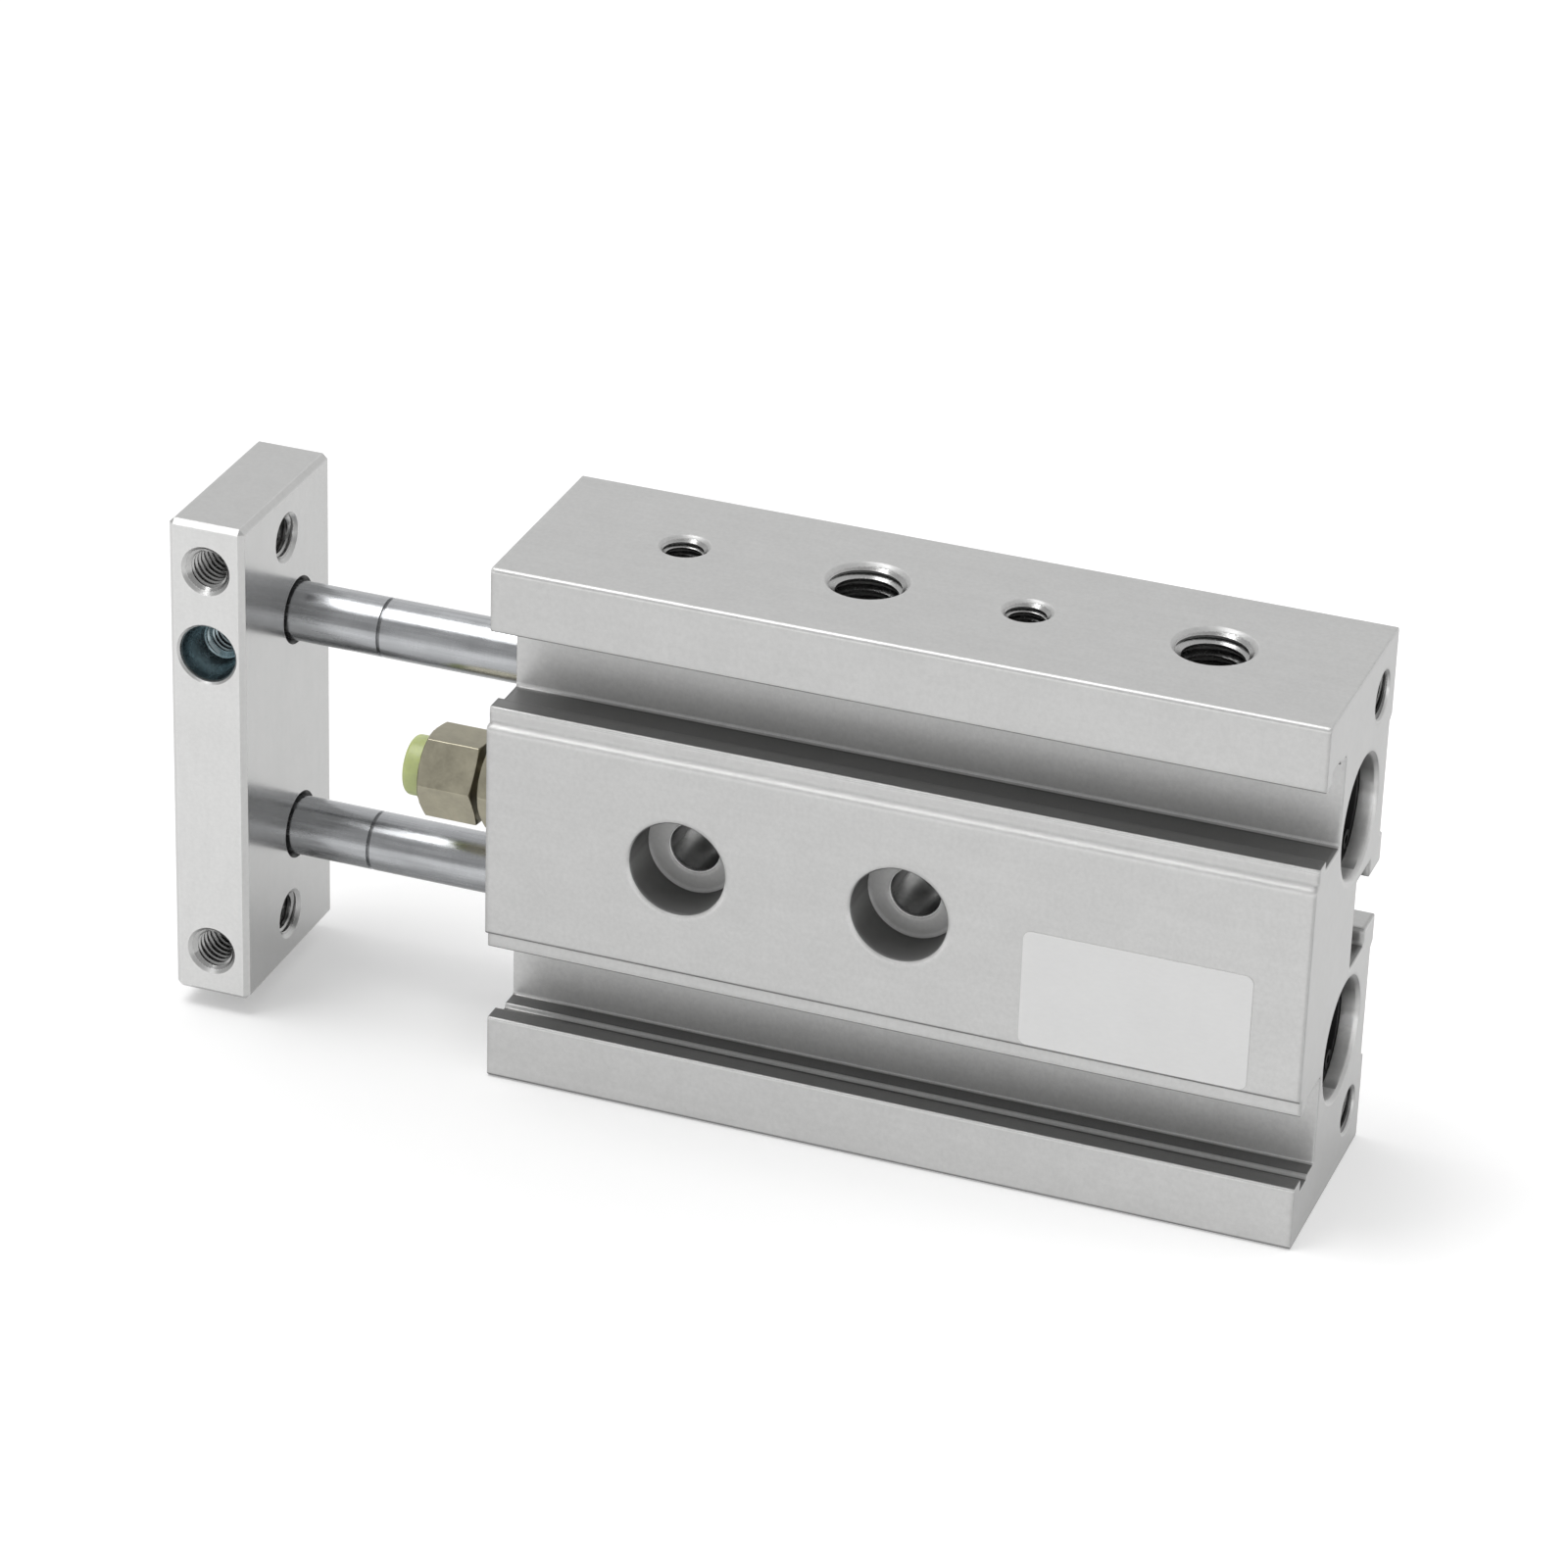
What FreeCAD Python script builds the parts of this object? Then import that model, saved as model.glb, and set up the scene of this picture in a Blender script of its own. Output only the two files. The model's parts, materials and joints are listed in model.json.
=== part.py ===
"""Twin-rod guided pneumatic cylinder, 6 mm bore and 10 mm stroke, as separate solids.

Millimetres. The barrel stands on its narrow side: +X runs from the rod end to the head end, -Y is the face
with the raised pad and the two sensor grooves, +Z is up. The origin is the centre of the barrel's base face.
The model is at full extension, and the end plate travels along +X to retract.
"""

import FreeCAD
import Part
import math
import os

from FreeCAD import Vector

# Barrel, overall sizes
BARREL_LENGTH = 55.0
BARREL_WIDTH = 37.0
BARREL_DEPTH = 16.0
CORNER_RADIUS = 0.3
EDGE_RADIUS = 0.15

# Twin bores and travel
STROKE = 10.0
BORE = 6.0
BORE_PITCH = 16.0
BORE_OFFSET = 1.7
COVER_BORE = 8.0
BORE_MOUTH_CHAMFER = 0.25

# Barrel, pad side
PAD_HEIGHT = 15.2
PAD_PROUD = 0.5
PAD_EDGE_RADIUS = 0.3
LEDGE_EDGE = 8.75
SENSOR_GROOVE_MOUTH = 5.3
SENSOR_GROOVE_DEPTH = 4.4
SENSOR_LIP_THICKNESS = 1.4
SENSOR_INNER_UNDERCUT = 0.55
SENSOR_OUTER_UNDERCUT = 0.85
SENSOR_STEP_HEIGHT = 0.3
SENSOR_STEP_DEPTH = 3.1

# Barrel, back side
BACK_RELIEF = 0.5
BACK_RELIEF_INNER = 3.9
BACK_RELIEF_OUTER = 12.4
BACK_RELIEF_SLOPE = 0.35
BACK_SLOT_MOUTH = 3.8
BACK_SLOT_WIDTH = 6.2
BACK_SLOT_LIP = 2.55
BACK_SLOT_DEPTH = 5.7

# Barrel, fastening holes and ports
PAD_HOLE_FIRST = 13.2
PAD_HOLE_PITCH = 15.0
PAD_HOLE = 3.4
PAD_COUNTERBORE = 6.5
PAD_COUNTERBORE_DEPTH = 3.3
PAD_COUNTERBORE_CHAMFER = 0.12
SIDE_TAP_FIRST = 10.0
SIDE_TAP_PITCH = 23.0
SIDE_TAP_DEPTH = 5.0
TOP_HOLE_OFFSET = 0.55
BASE_TAP_OFFSET = 0.0
REAR_TAP_SPACING = 30.0
REAR_TAP_OFFSET = 5.0
REAR_TAP_DEPTH = 6.0
M3 = 3.0
M3_CHAMFER = 0.2
PORT = 5.0
PORT_CHAMFER = 0.25
PORT_DEPTH = 5.2
AIRWAY = 1.6

# Retaining rings in the covers' bores
FRONT_RECESS = 1.0
REAR_RECESS = 1.2
RING_GROOVE_WIDTH = 0.75
RING_GROOVE_DEPTH = 0.3
RING_THICKNESS = 0.7
RING_BAND = 0.7
RING_SEAT_GAP = 0.06
RING_GAP_ANGLE = 70.0
RING_LUG = 1.3
RING_LUG_REACH = 1.55
RING_LUG_HOLE = 0.6

# Rod cover, its bush and its seals
SEAL_WASHER_THICKNESS = 0.6
SEAL_WASHER_BORE_GAP = 0.2
ROD_SEAL_WALL = 1.1
ROD_SEAL_LENGTH = 2.8
ROD_SEAL_LIP = 1.1
BUSH_WALL = 0.55
BUSH_STOP_LENGTH = 2.25
COVER_NOSE_LENGTH = 3.95
NOSE_AIR_GAP = 0.4
NOSE_BORE_GAP = 0.15

# Head cover and the covers' O-rings
HEAD_COVER_LENGTH = 6.35
HEAD_NOSE_LENGTH = 3.0
HEAD_CENTRE_HOLE = 2.5
HEAD_CENTRE_HOLE_DEPTH = 2.5
ORING_SECTION = 0.7
ORING_GROOVE_WIDTH = 0.9
ORING_STEP = 1.4

# Pistons
ROD = 4.0
SPIGOT = 2.8
DAMPER_LENGTH = 1.0
PISTON_LENGTH = 4.2
PISTON_SEAL_WIDTH = 1.8
PISTON_SEAL_DEPTH = 0.85
MAGNET_LENGTH = 1.9
MAGNET_INSET = 0.15
PISTON_NUT_LENGTH = 1.9
PISTON_END_CLEARANCE = 0.3

# End plate and what holds the rods in it
PLATE_THICKNESS = 5.3
PLATE_DEPTH = 13.6
PLATE_HEIGHT = 34.6
PLATE_CHAMFER = 0.35
PLATE_TAP_SPACING = 28.0
PLATE_TAP_CHAMFER = 0.23
UPPER_SOCKET_DEPTH = 4.3
LOWER_SOCKET_DEPTH = 2.0
ROD_SOCKET_CHAMFER = 0.3
UPPER_ROD_MARK = 6.55
LOWER_ROD_MARK = 5.8
ROD_MARK_WIDTH = 0.25
ROD_MARK_DEPTH = 0.12
CLAMP_SCREW = 4.0
CLAMP_SCREW_CHAMFER = 0.15
CLAMP_SCREW_RECESS = 0.35
CLAMP_SCREW_CUP = 3.86
CLAMP_SCREW_CUP_DEPTH = 2.2
CLAMP_SCREW_TAP = 2.5
CLAMP_SCREW_TAP_CHAMFER = 0.12
CLAMP_SCREW_TAP_DEPTH = 2.6
END_SCREW = 2.5
END_SCREW_HOLE = 2.7
END_SCREW_HEAD = 4.5
END_SCREW_HEAD_HEIGHT = 2.2
END_SCREW_HEAD_BORE = 4.8
END_SCREW_HEAD_BORE_DEPTH = 2.4
END_SCREW_LENGTH = 7.0
END_SCREW_SOCKET = 2.0
END_SCREW_SOCKET_DEPTH = 1.2

# Stroke stopper between the rods
STOPPER_OFFSET = -1.3
STOPPER_THREAD = 3.0
STOPPER_HOLE_DEPTH = 8.5
STOPPER_ENGAGEMENT = 7.5
STOPPER_FLATS = 5.5
STOPPER_TURN = -4.0
STOPPER_NUT_HEIGHT = 2.3
STOPPER_ADJUSTMENT = 0.25
STOPPER_SETTING = 0.5
STOPPER_HEAD_GAP = 0.1
STOPPER_HEAD_HEIGHT = 3.9
STOPPER_HEX_CHAMFER = 25.0
STOPPER_SEAT_CHAMFER = 12.0
BUMPER = 4.1
BUMPER_POCKET_DEPTH = 2.4
BUMPER_PROUD = 1.45
BUMPER_CHAMFER = 0.3

# Clearances
SLIDE_GAP = 0.05
SEAL_GAP = 0.03
SEAT_GAP = 0.02
THREAD_GAP = 0.02
STOP_GAP = 0.05
OVERCUT = 1.0

# Places along X
FRONT_X = -BARREL_LENGTH / 2
REAR_X = BARREL_LENGTH / 2
FRONT_RING_X = FRONT_X + FRONT_RECESS
SEAL_WASHER_X = FRONT_RING_X + RING_GROOVE_WIDTH
ROD_COVER_X = SEAL_WASHER_X + SEAL_WASHER_THICKNESS + SEAT_GAP
REAR_RING_X = REAR_X - REAR_RECESS - RING_GROOVE_WIDTH
HEAD_STEP_X = REAR_RING_X - HEAD_COVER_LENGTH
HEAD_NOSE_X = HEAD_STEP_X - HEAD_NOSE_LENGTH
PISTON_END_X = HEAD_NOSE_X - PISTON_END_CLEARANCE - STROKE
PISTON_NUT_X = PISTON_END_X - PISTON_NUT_LENGTH
MAGNET_X = PISTON_NUT_X - MAGNET_LENGTH
PISTON_X = MAGNET_X - PISTON_LENGTH
DAMPER_X = PISTON_X - DAMPER_LENGTH
COVER_NOSE_END_X = DAMPER_X - STOP_GAP
COVER_STEP_X = COVER_NOSE_END_X - COVER_NOSE_LENGTH
BUSH_X = ROD_COVER_X + ROD_SEAL_LENGTH
BUSH_END_X = COVER_STEP_X - BUSH_STOP_LENGTH
FRONT_PORT_X = (COVER_STEP_X + COVER_NOSE_END_X) / 2
REAR_PORT_X = (HEAD_STEP_X + HEAD_NOSE_X) / 2
STOPPER_NUT_X = FRONT_X - STOPPER_NUT_HEIGHT
STOPPER_SEAT_X = STOPPER_NUT_X - STOPPER_ADJUSTMENT - STOPPER_HEAD_GAP
STOPPER_HEAD_X = STOPPER_SEAT_X - STOPPER_HEAD_HEIGHT
BUMPER_X = STOPPER_HEAD_X - BUMPER_PROUD
PLATE_INNER_X = BUMPER_X - STOP_GAP - STROKE + STOPPER_SETTING
PLATE_OUTER_X = PLATE_INNER_X - PLATE_THICKNESS
PLATE_MID_X = PLATE_INNER_X - PLATE_THICKNESS / 2

# Places across the barrel
NOSE = BORE - 2 * NOSE_AIR_GAP
MID_Z = BARREL_WIDTH / 2
PAD_Y = -BARREL_DEPTH / 2
FACE_Y = PAD_Y + PAD_PROUD
BACK_Y = BARREL_DEPTH / 2
BACK_SLOT_FLOOR_Y = BACK_Y - BACK_SLOT_DEPTH
UPPER_Z = MID_Z + BORE_PITCH / 2
LOWER_Z = MID_Z - BORE_PITCH / 2
SIDES = (("upper", UPPER_Z), ("lower", LOWER_Z))

X_AXIS = Vector(1, 0, 0)
Y_AXIS = Vector(0, 1, 0)
Z_AXIS = Vector(0, 0, 1)


def rod_bore(diameter, start_x, end_x, y=0.0, z=0.0):
    """A round bar along X."""
    return Part.makeCylinder(diameter / 2, end_x - start_x, Vector(start_x, y, z), X_AXIS)


def drill(mouth, inward, diameter, depth):
    """The space that a drill takes out, standing a little proud of the mouth."""
    start = mouth - inward * OVERCUT
    return Part.makeCylinder(diameter / 2, depth + OVERCUT, start, inward)


def countersink(mouth, inward, diameter, chamfer):
    """A 45 degree break at a hole's mouth."""
    return Part.makeCone(diameter / 2 + chamfer, diameter / 2, chamfer, mouth, inward)


def chamfered_hole(mouth, inward, diameter, chamfer, depth):
    """A blind hole with a chamfered mouth, at its thread's nominal diameter where it is tapped."""
    return drill(mouth, inward, diameter, depth).fuse(countersink(mouth, inward, diameter, chamfer))


def turned(outline):
    """A solid turned about the X axis from a closed outline of (x, radius) points."""
    points = [Vector(x, 0, radius) for x, radius in outline]
    face = Part.Face(Part.makePolygon(points + points[:1]))
    return face.revolve(Vector(0, 0, 0), X_AXIS, 360)


def sleeve(start_x, end_x, outer, inner):
    """A plain ring along X."""
    return turned([(start_x, inner / 2), (end_x, inner / 2), (end_x, outer / 2), (start_x, outer / 2)])


def on_bore(shape, z):
    """A copy of a shape turned about the X axis, moved to one of the two bores."""
    moved = shape.copy()
    moved.translate(Vector(0, BORE_OFFSET, z))
    return moved


def hexagon(across_flats, start_x, length, turn=0.0):
    """A hexagonal bar along X on the X axis, with a flat on top when turn is 0."""
    corner = across_flats / math.sqrt(3)
    angles = [math.radians(60 * i + turn) for i in range(7)]
    points = [Vector(start_x, corner * math.cos(a), corner * math.sin(a)) for a in angles]
    return Part.Face(Part.makePolygon(points)).extrude(Vector(length, 0, 0))


def rounded_outline(corners):
    """A closed wire in the YZ plane through (y, z, radius) corners, each rounded by its radius."""
    count = len(corners)
    starts, ends, arcs = [], [], []
    for i, (y, z, radius) in enumerate(corners):
        corner = Vector(0, y, z)
        before = Vector(0, *corners[i - 1][:2]) - corner
        after = Vector(0, *corners[(i + 1) % count][:2]) - corner
        before.normalize()
        after.normalize()
        half = before.getAngle(after) / 2
        reach = radius / math.tan(half)
        starts.append(corner + before * reach)
        ends.append(corner + after * reach)
        middle = before + after
        if radius:
            middle.normalize()
            centre = corner + middle * (radius / math.sin(half))
            arcs.append(Part.Arc(starts[i], centre - middle * radius, ends[i]).toShape())
        else:
            arcs.append(None)
    edges = []
    for i in range(count):
        if arcs[i]:
            edges.append(arcs[i])
        edges.append(Part.makeLine(ends[i], starts[(i + 1) % count]))
    return Part.Wire(edges)


def barrel_half_outline():
    """Corners of the extrusion's upper half, pad to back slot, as (y, height above the middle, radius)."""
    groove_floor = FACE_Y + SENSOR_GROOVE_DEPTH
    lip_back = FACE_Y + SENSOR_LIP_THICKNESS
    step_y = FACE_Y + SENSOR_STEP_DEPTH
    lip_edge = LEDGE_EDGE + SENSOR_GROOVE_MOUTH
    inner_wall = LEDGE_EDGE - SENSOR_INNER_UNDERCUT
    outer_wall = lip_edge + SENSOR_OUTER_UNDERCUT
    relief_y = BACK_Y - BACK_RELIEF
    slot_back = BACK_Y - BACK_SLOT_LIP
    return [
        (PAD_Y, PAD_HEIGHT / 2, PAD_EDGE_RADIUS),
        (FACE_Y, PAD_HEIGHT / 2, 0),
        (FACE_Y, LEDGE_EDGE, EDGE_RADIUS),
        (lip_back, LEDGE_EDGE, 0),
        (lip_back, inner_wall, 0),
        (groove_floor, inner_wall, EDGE_RADIUS),
        (groove_floor, outer_wall - SENSOR_STEP_HEIGHT, EDGE_RADIUS),
        (step_y, outer_wall - SENSOR_STEP_HEIGHT, 0),
        (step_y - SENSOR_STEP_HEIGHT / 2, outer_wall, 0),
        (lip_back, outer_wall, 0),
        (lip_back, lip_edge, 0),
        (FACE_Y, lip_edge, EDGE_RADIUS),
        (FACE_Y, BARREL_WIDTH / 2, CORNER_RADIUS),
        (BACK_Y, BARREL_WIDTH / 2, CORNER_RADIUS),
        (BACK_Y, BACK_RELIEF_OUTER, 0),
        (relief_y, BACK_RELIEF_OUTER - BACK_RELIEF_SLOPE, 0),
        (relief_y, BACK_RELIEF_INNER + BACK_RELIEF_SLOPE, 0),
        (BACK_Y, BACK_RELIEF_INNER, 0),
        (BACK_Y, BACK_SLOT_MOUTH / 2, CORNER_RADIUS),
        (slot_back, BACK_SLOT_MOUTH / 2, 0),
        (slot_back, BACK_SLOT_WIDTH / 2, 0),
        (BACK_SLOT_FLOOR_Y, BACK_SLOT_WIDTH / 2, EDGE_RADIUS),
    ]


def barrel_extrusion():
    """The drawn aluminium bar, before any machining."""
    half = barrel_half_outline()
    upper = [(y, MID_Z + height, radius) for y, height, radius in half]
    lower = [(y, MID_Z - height, radius) for y, height, radius in reversed(half)]
    outline = rounded_outline(upper + lower)
    outline.translate(Vector(FRONT_X, 0, 0))
    return Part.Face(outline).extrude(Vector(BARREL_LENGTH, 0, 0))


def twin_bore(z):
    """One stepped bore with its two ring grooves."""
    groove = COVER_BORE + 2 * RING_GROOVE_DEPTH
    cuts = [
        rod_bore(BORE, FRONT_X, REAR_X),
        rod_bore(COVER_BORE, FRONT_X - OVERCUT, COVER_STEP_X),
        rod_bore(COVER_BORE, HEAD_STEP_X, REAR_X + OVERCUT),
        rod_bore(groove, FRONT_RING_X, FRONT_RING_X + RING_GROOVE_WIDTH),
        rod_bore(groove, REAR_RING_X, REAR_RING_X + RING_GROOVE_WIDTH),
        countersink(Vector(FRONT_X, 0, 0), X_AXIS, COVER_BORE, BORE_MOUTH_CHAMFER),
        countersink(Vector(REAR_X, 0, 0), -X_AXIS, COVER_BORE, BORE_MOUTH_CHAMFER),
    ]
    return on_bore(cuts[0].multiFuse(cuts[1:]), z)


def pad_holes():
    """Counterbored holes from the pad through to the back slot."""
    holes = []
    for i in range(2):
        mouth = Vector(FRONT_X + PAD_HOLE_FIRST + i * PAD_HOLE_PITCH, PAD_Y, MID_Z)
        holes.append(drill(mouth, Y_AXIS, PAD_HOLE, BACK_SLOT_FLOOR_Y - PAD_Y + OVERCUT))
        holes.append(chamfered_hole(mouth, Y_AXIS, PAD_COUNTERBORE, PAD_COUNTERBORE_CHAMFER,
                                    PAD_COUNTERBORE_DEPTH))
    return holes


def side_taps():
    """Tapped mounting holes in both narrow sides."""
    holes = []
    for i in range(2):
        x = FRONT_X + SIDE_TAP_FIRST + i * SIDE_TAP_PITCH
        top = Vector(x, TOP_HOLE_OFFSET, BARREL_WIDTH)
        base = Vector(x, BASE_TAP_OFFSET, 0)
        holes.append(chamfered_hole(top, -Z_AXIS, M3, M3_CHAMFER, SIDE_TAP_DEPTH))
        holes.append(chamfered_hole(base, Z_AXIS, M3, M3_CHAMFER, SIDE_TAP_DEPTH))
    return holes


def ports():
    """Air ports in the top, each with an airway that feeds the upper bore and goes on to the lower one."""
    holes = []
    for x in (FRONT_PORT_X, REAR_PORT_X):
        mouth = Vector(x, TOP_HOLE_OFFSET, BARREL_WIDTH)
        holes.append(chamfered_hole(mouth, -Z_AXIS, PORT, PORT_CHAMFER, PORT_DEPTH))
        holes.append(drill(mouth, -Z_AXIS, AIRWAY, BARREL_WIDTH - LOWER_Z))
    return holes


def rear_taps():
    """Tapped mounting holes in the head end."""
    holes = []
    for side in (-1, 1):
        mouth = Vector(REAR_X, REAR_TAP_OFFSET, MID_Z + side * REAR_TAP_SPACING / 2)
        holes.append(chamfered_hole(mouth, -X_AXIS, M3, M3_CHAMFER, REAR_TAP_DEPTH))
    return holes


def barrel():
    """The machined extrusion."""
    stopper_mouth = Vector(FRONT_X, STOPPER_OFFSET, MID_Z)
    cuts = [twin_bore(z) for _, z in SIDES]
    cuts += pad_holes() + side_taps() + ports() + rear_taps()
    cuts.append(chamfered_hole(stopper_mouth, X_AXIS, STOPPER_THREAD, M3_CHAMFER, STOPPER_HOLE_DEPTH))
    return barrel_extrusion().cut(cuts).removeSplitter()


def retaining_ring(start_x):
    """An internal circlip with two pierced lugs, lying in its groove."""
    end_x = start_x + RING_THICKNESS
    outer = COVER_BORE + 2 * RING_GROOVE_DEPTH - 2 * RING_SEAT_GAP
    inner = outer - 2 * RING_BAND
    lug_radius = outer / 2 - RING_LUG_REACH + RING_LUG / 2
    half_gap = math.radians(RING_GAP_ANGLE / 2)
    reach = outer
    wedge_corners = [
        Vector(start_x - OVERCUT, 0, 0),
        Vector(start_x - OVERCUT, reach * math.sin(half_gap), -reach * math.cos(half_gap)),
        Vector(start_x - OVERCUT, -reach * math.sin(half_gap), -reach * math.cos(half_gap)),
    ]
    wedge = Part.Face(Part.makePolygon(wedge_corners + wedge_corners[:1]))
    wedge = wedge.extrude(Vector(RING_THICKNESS + 2 * OVERCUT, 0, 0))
    ring = sleeve(start_x, end_x, outer, inner).cut(wedge)
    for side in (-1, 1):
        y = side * lug_radius * math.sin(half_gap)
        z = -lug_radius * math.cos(half_gap)
        ring = ring.fuse(rod_bore(RING_LUG, start_x, end_x, y, z))
        ring = ring.cut(rod_bore(RING_LUG_HOLE, start_x - OVERCUT, end_x + OVERCUT, y, z))
    return ring.removeSplitter()


def seal_washer():
    """The thin disc that keeps the rod seal in its pocket."""
    end_x = SEAL_WASHER_X + SEAL_WASHER_THICKNESS
    outer = COVER_BORE - 2 * SEAT_GAP
    return sleeve(SEAL_WASHER_X, end_x, outer, ROD + 2 * SEAL_WASHER_BORE_GAP)


def rod_cover():
    """The front cover: seal pocket, bush seat, O-ring groove and the nose that the piston stops against."""
    outer = COVER_BORE / 2 - SEAT_GAP
    pocket = ROD / 2 + ROD_SEAL_WALL
    bush_seat = ROD / 2 + SLIDE_GAP + BUSH_WALL
    nose_bore = ROD / 2 + NOSE_BORE_GAP
    groove_x = COVER_STEP_X - SEAT_GAP - ORING_STEP - ORING_GROOVE_WIDTH
    groove_end_x = groove_x + ORING_GROOVE_WIDTH
    groove = COVER_BORE / 2 - ORING_SECTION
    shoulder_x = COVER_STEP_X - SEAT_GAP
    return turned([
        (ROD_COVER_X, pocket), (BUSH_X, pocket), (BUSH_X, bush_seat), (BUSH_END_X, bush_seat),
        (BUSH_END_X, nose_bore), (COVER_NOSE_END_X, nose_bore), (COVER_NOSE_END_X, NOSE / 2),
        (shoulder_x, NOSE / 2), (shoulder_x, outer), (groove_end_x, outer), (groove_end_x, groove),
        (groove_x, groove), (groove_x, outer), (ROD_COVER_X, outer),
    ])


def rod_bush():
    """The plain bearing pressed into the rod cover."""
    inner = ROD + 2 * SLIDE_GAP
    outer = inner + 2 * BUSH_WALL - 2 * SEAT_GAP
    return sleeve(BUSH_X + SEAT_GAP, BUSH_END_X - SEAT_GAP, outer, inner)


def rod_seal():
    """A lip seal, its mouth towards the pressure side."""
    start_x = ROD_COVER_X + SEAT_GAP
    end_x = BUSH_X - SEAT_GAP
    inner = ROD / 2 + SEAL_GAP
    outer = ROD / 2 + ROD_SEAL_WALL - SEAT_GAP
    middle = (inner + outer) / 2
    return turned([
        (start_x, inner), (end_x, inner), (end_x - ROD_SEAL_LIP, middle), (end_x, outer), (start_x, outer),
    ])


def cover_oring(groove_x):
    """A sealing ring in a cover's groove, squeezed flat where it bears on the bore and on the groove."""
    middle_x = groove_x + ORING_GROOVE_WIDTH / 2
    reach = ORING_GROOVE_WIDTH / 2 - SEAT_GAP
    land = reach / 2
    outer = COVER_BORE / 2 - SEAT_GAP
    inner = COVER_BORE / 2 - ORING_SECTION + SEAT_GAP
    middle = (outer + inner) / 2
    return turned([
        (middle_x - land, inner), (middle_x + land, inner), (middle_x + reach, middle),
        (middle_x + land, outer), (middle_x - land, outer), (middle_x - reach, middle),
    ])


def rod_cover_oring():
    """The seal between the rod cover and the barrel."""
    return cover_oring(COVER_STEP_X - SEAT_GAP - ORING_STEP - ORING_GROOVE_WIDTH)


def head_cover():
    """The plug that closes a bore's head end, with its nose towards the piston."""
    outer = COVER_BORE / 2 - SEAT_GAP
    step_x = HEAD_STEP_X + SEAT_GAP
    groove_x = step_x + ORING_STEP
    groove_end_x = groove_x + ORING_GROOVE_WIDTH
    groove = COVER_BORE / 2 - ORING_SECTION
    hole = HEAD_CENTRE_HOLE / 2
    return turned([
        (HEAD_NOSE_X, 0), (HEAD_NOSE_X, NOSE / 2), (step_x, NOSE / 2), (step_x, outer),
        (groove_x, outer), (groove_x, groove), (groove_end_x, groove), (groove_end_x, outer),
        (REAR_RING_X, outer), (REAR_RING_X, hole), (REAR_RING_X - HEAD_CENTRE_HOLE_DEPTH, hole),
        (REAR_RING_X - HEAD_CENTRE_HOLE_DEPTH - hole / 2, 0),
    ])


def head_cover_oring():
    """The seal between the head cover and the barrel."""
    return cover_oring(HEAD_STEP_X + SEAT_GAP + ORING_STEP)


def piston():
    """The piston's front half, with its seal groove."""
    outer = BORE / 2 - SLIDE_GAP
    groove_x = PISTON_X + (PISTON_LENGTH - PISTON_SEAL_WIDTH) / 2
    groove_end_x = groove_x + PISTON_SEAL_WIDTH
    groove = outer - PISTON_SEAL_DEPTH
    bore = SPIGOT / 2 + SEAT_GAP
    return turned([
        (PISTON_X, bore), (MAGNET_X, bore), (MAGNET_X, outer), (groove_end_x, outer),
        (groove_end_x, groove), (groove_x, groove), (groove_x, outer), (PISTON_X, outer),
    ])


def piston_seal():
    """A double-lipped ring that seals the piston both ways."""
    start_x = PISTON_X + (PISTON_LENGTH - PISTON_SEAL_WIDTH) / 2 + SEAT_GAP
    end_x = start_x + PISTON_SEAL_WIDTH - 2 * SEAT_GAP
    inner = BORE / 2 - SLIDE_GAP - PISTON_SEAL_DEPTH + SEAT_GAP
    outer = BORE / 2 - SEAL_GAP
    waist = (inner + outer) / 2
    middle_x = (start_x + end_x) / 2
    lip = PISTON_SEAL_WIDTH / 4
    return turned([
        (start_x, inner), (end_x, inner), (end_x, outer), (end_x - lip, outer), (middle_x, waist),
        (start_x + lip, outer), (start_x, outer),
    ])


def piston_magnet():
    """The ring magnet that trips the sensors, clamped behind the piston."""
    outer = BORE - 2 * SLIDE_GAP - 2 * MAGNET_INSET
    return sleeve(MAGNET_X, PISTON_NUT_X, outer, SPIGOT + 2 * SEAT_GAP)


def piston_nut():
    """The round nut that clamps the piston and its magnet on the rod's spigot, slotted for a driver."""
    nut = sleeve(PISTON_NUT_X, PISTON_END_X, BORE - 2 * SLIDE_GAP, SPIGOT + 2 * THREAD_GAP)
    slot_width = SPIGOT / 3
    slot_depth = PISTON_NUT_LENGTH / 3
    corner = Vector(PISTON_END_X - slot_depth, -BORE, -slot_width / 2)
    return nut.cut(Part.makeBox(slot_depth + OVERCUT, 2 * BORE, slot_width, corner))


def piston_damper():
    """The soft washer that meets the rod cover's nose at full extension."""
    return sleeve(DAMPER_X, PISTON_X, NOSE, ROD + 2 * SEAT_GAP)


def piston_rod(socket_depth, mark):
    """A ground rod with a ring mark near the plate and a spigot for the piston."""
    plate_end_x = PLATE_INNER_X - socket_depth + SEAT_GAP
    mark_x = PLATE_INNER_X + mark - ROD_MARK_WIDTH / 2
    mark_end_x = mark_x + ROD_MARK_WIDTH
    radius = ROD / 2
    chamfer = ROD_MARK_WIDTH
    return turned([
        (plate_end_x, 0), (plate_end_x, radius - chamfer), (plate_end_x + chamfer, radius), (mark_x, radius),
        (mark_x, radius - ROD_MARK_DEPTH), (mark_end_x, radius - ROD_MARK_DEPTH), (mark_end_x, radius),
        (PISTON_X, radius), (PISTON_X, SPIGOT / 2), (PISTON_END_X, SPIGOT / 2), (PISTON_END_X, 0),
    ])


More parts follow.
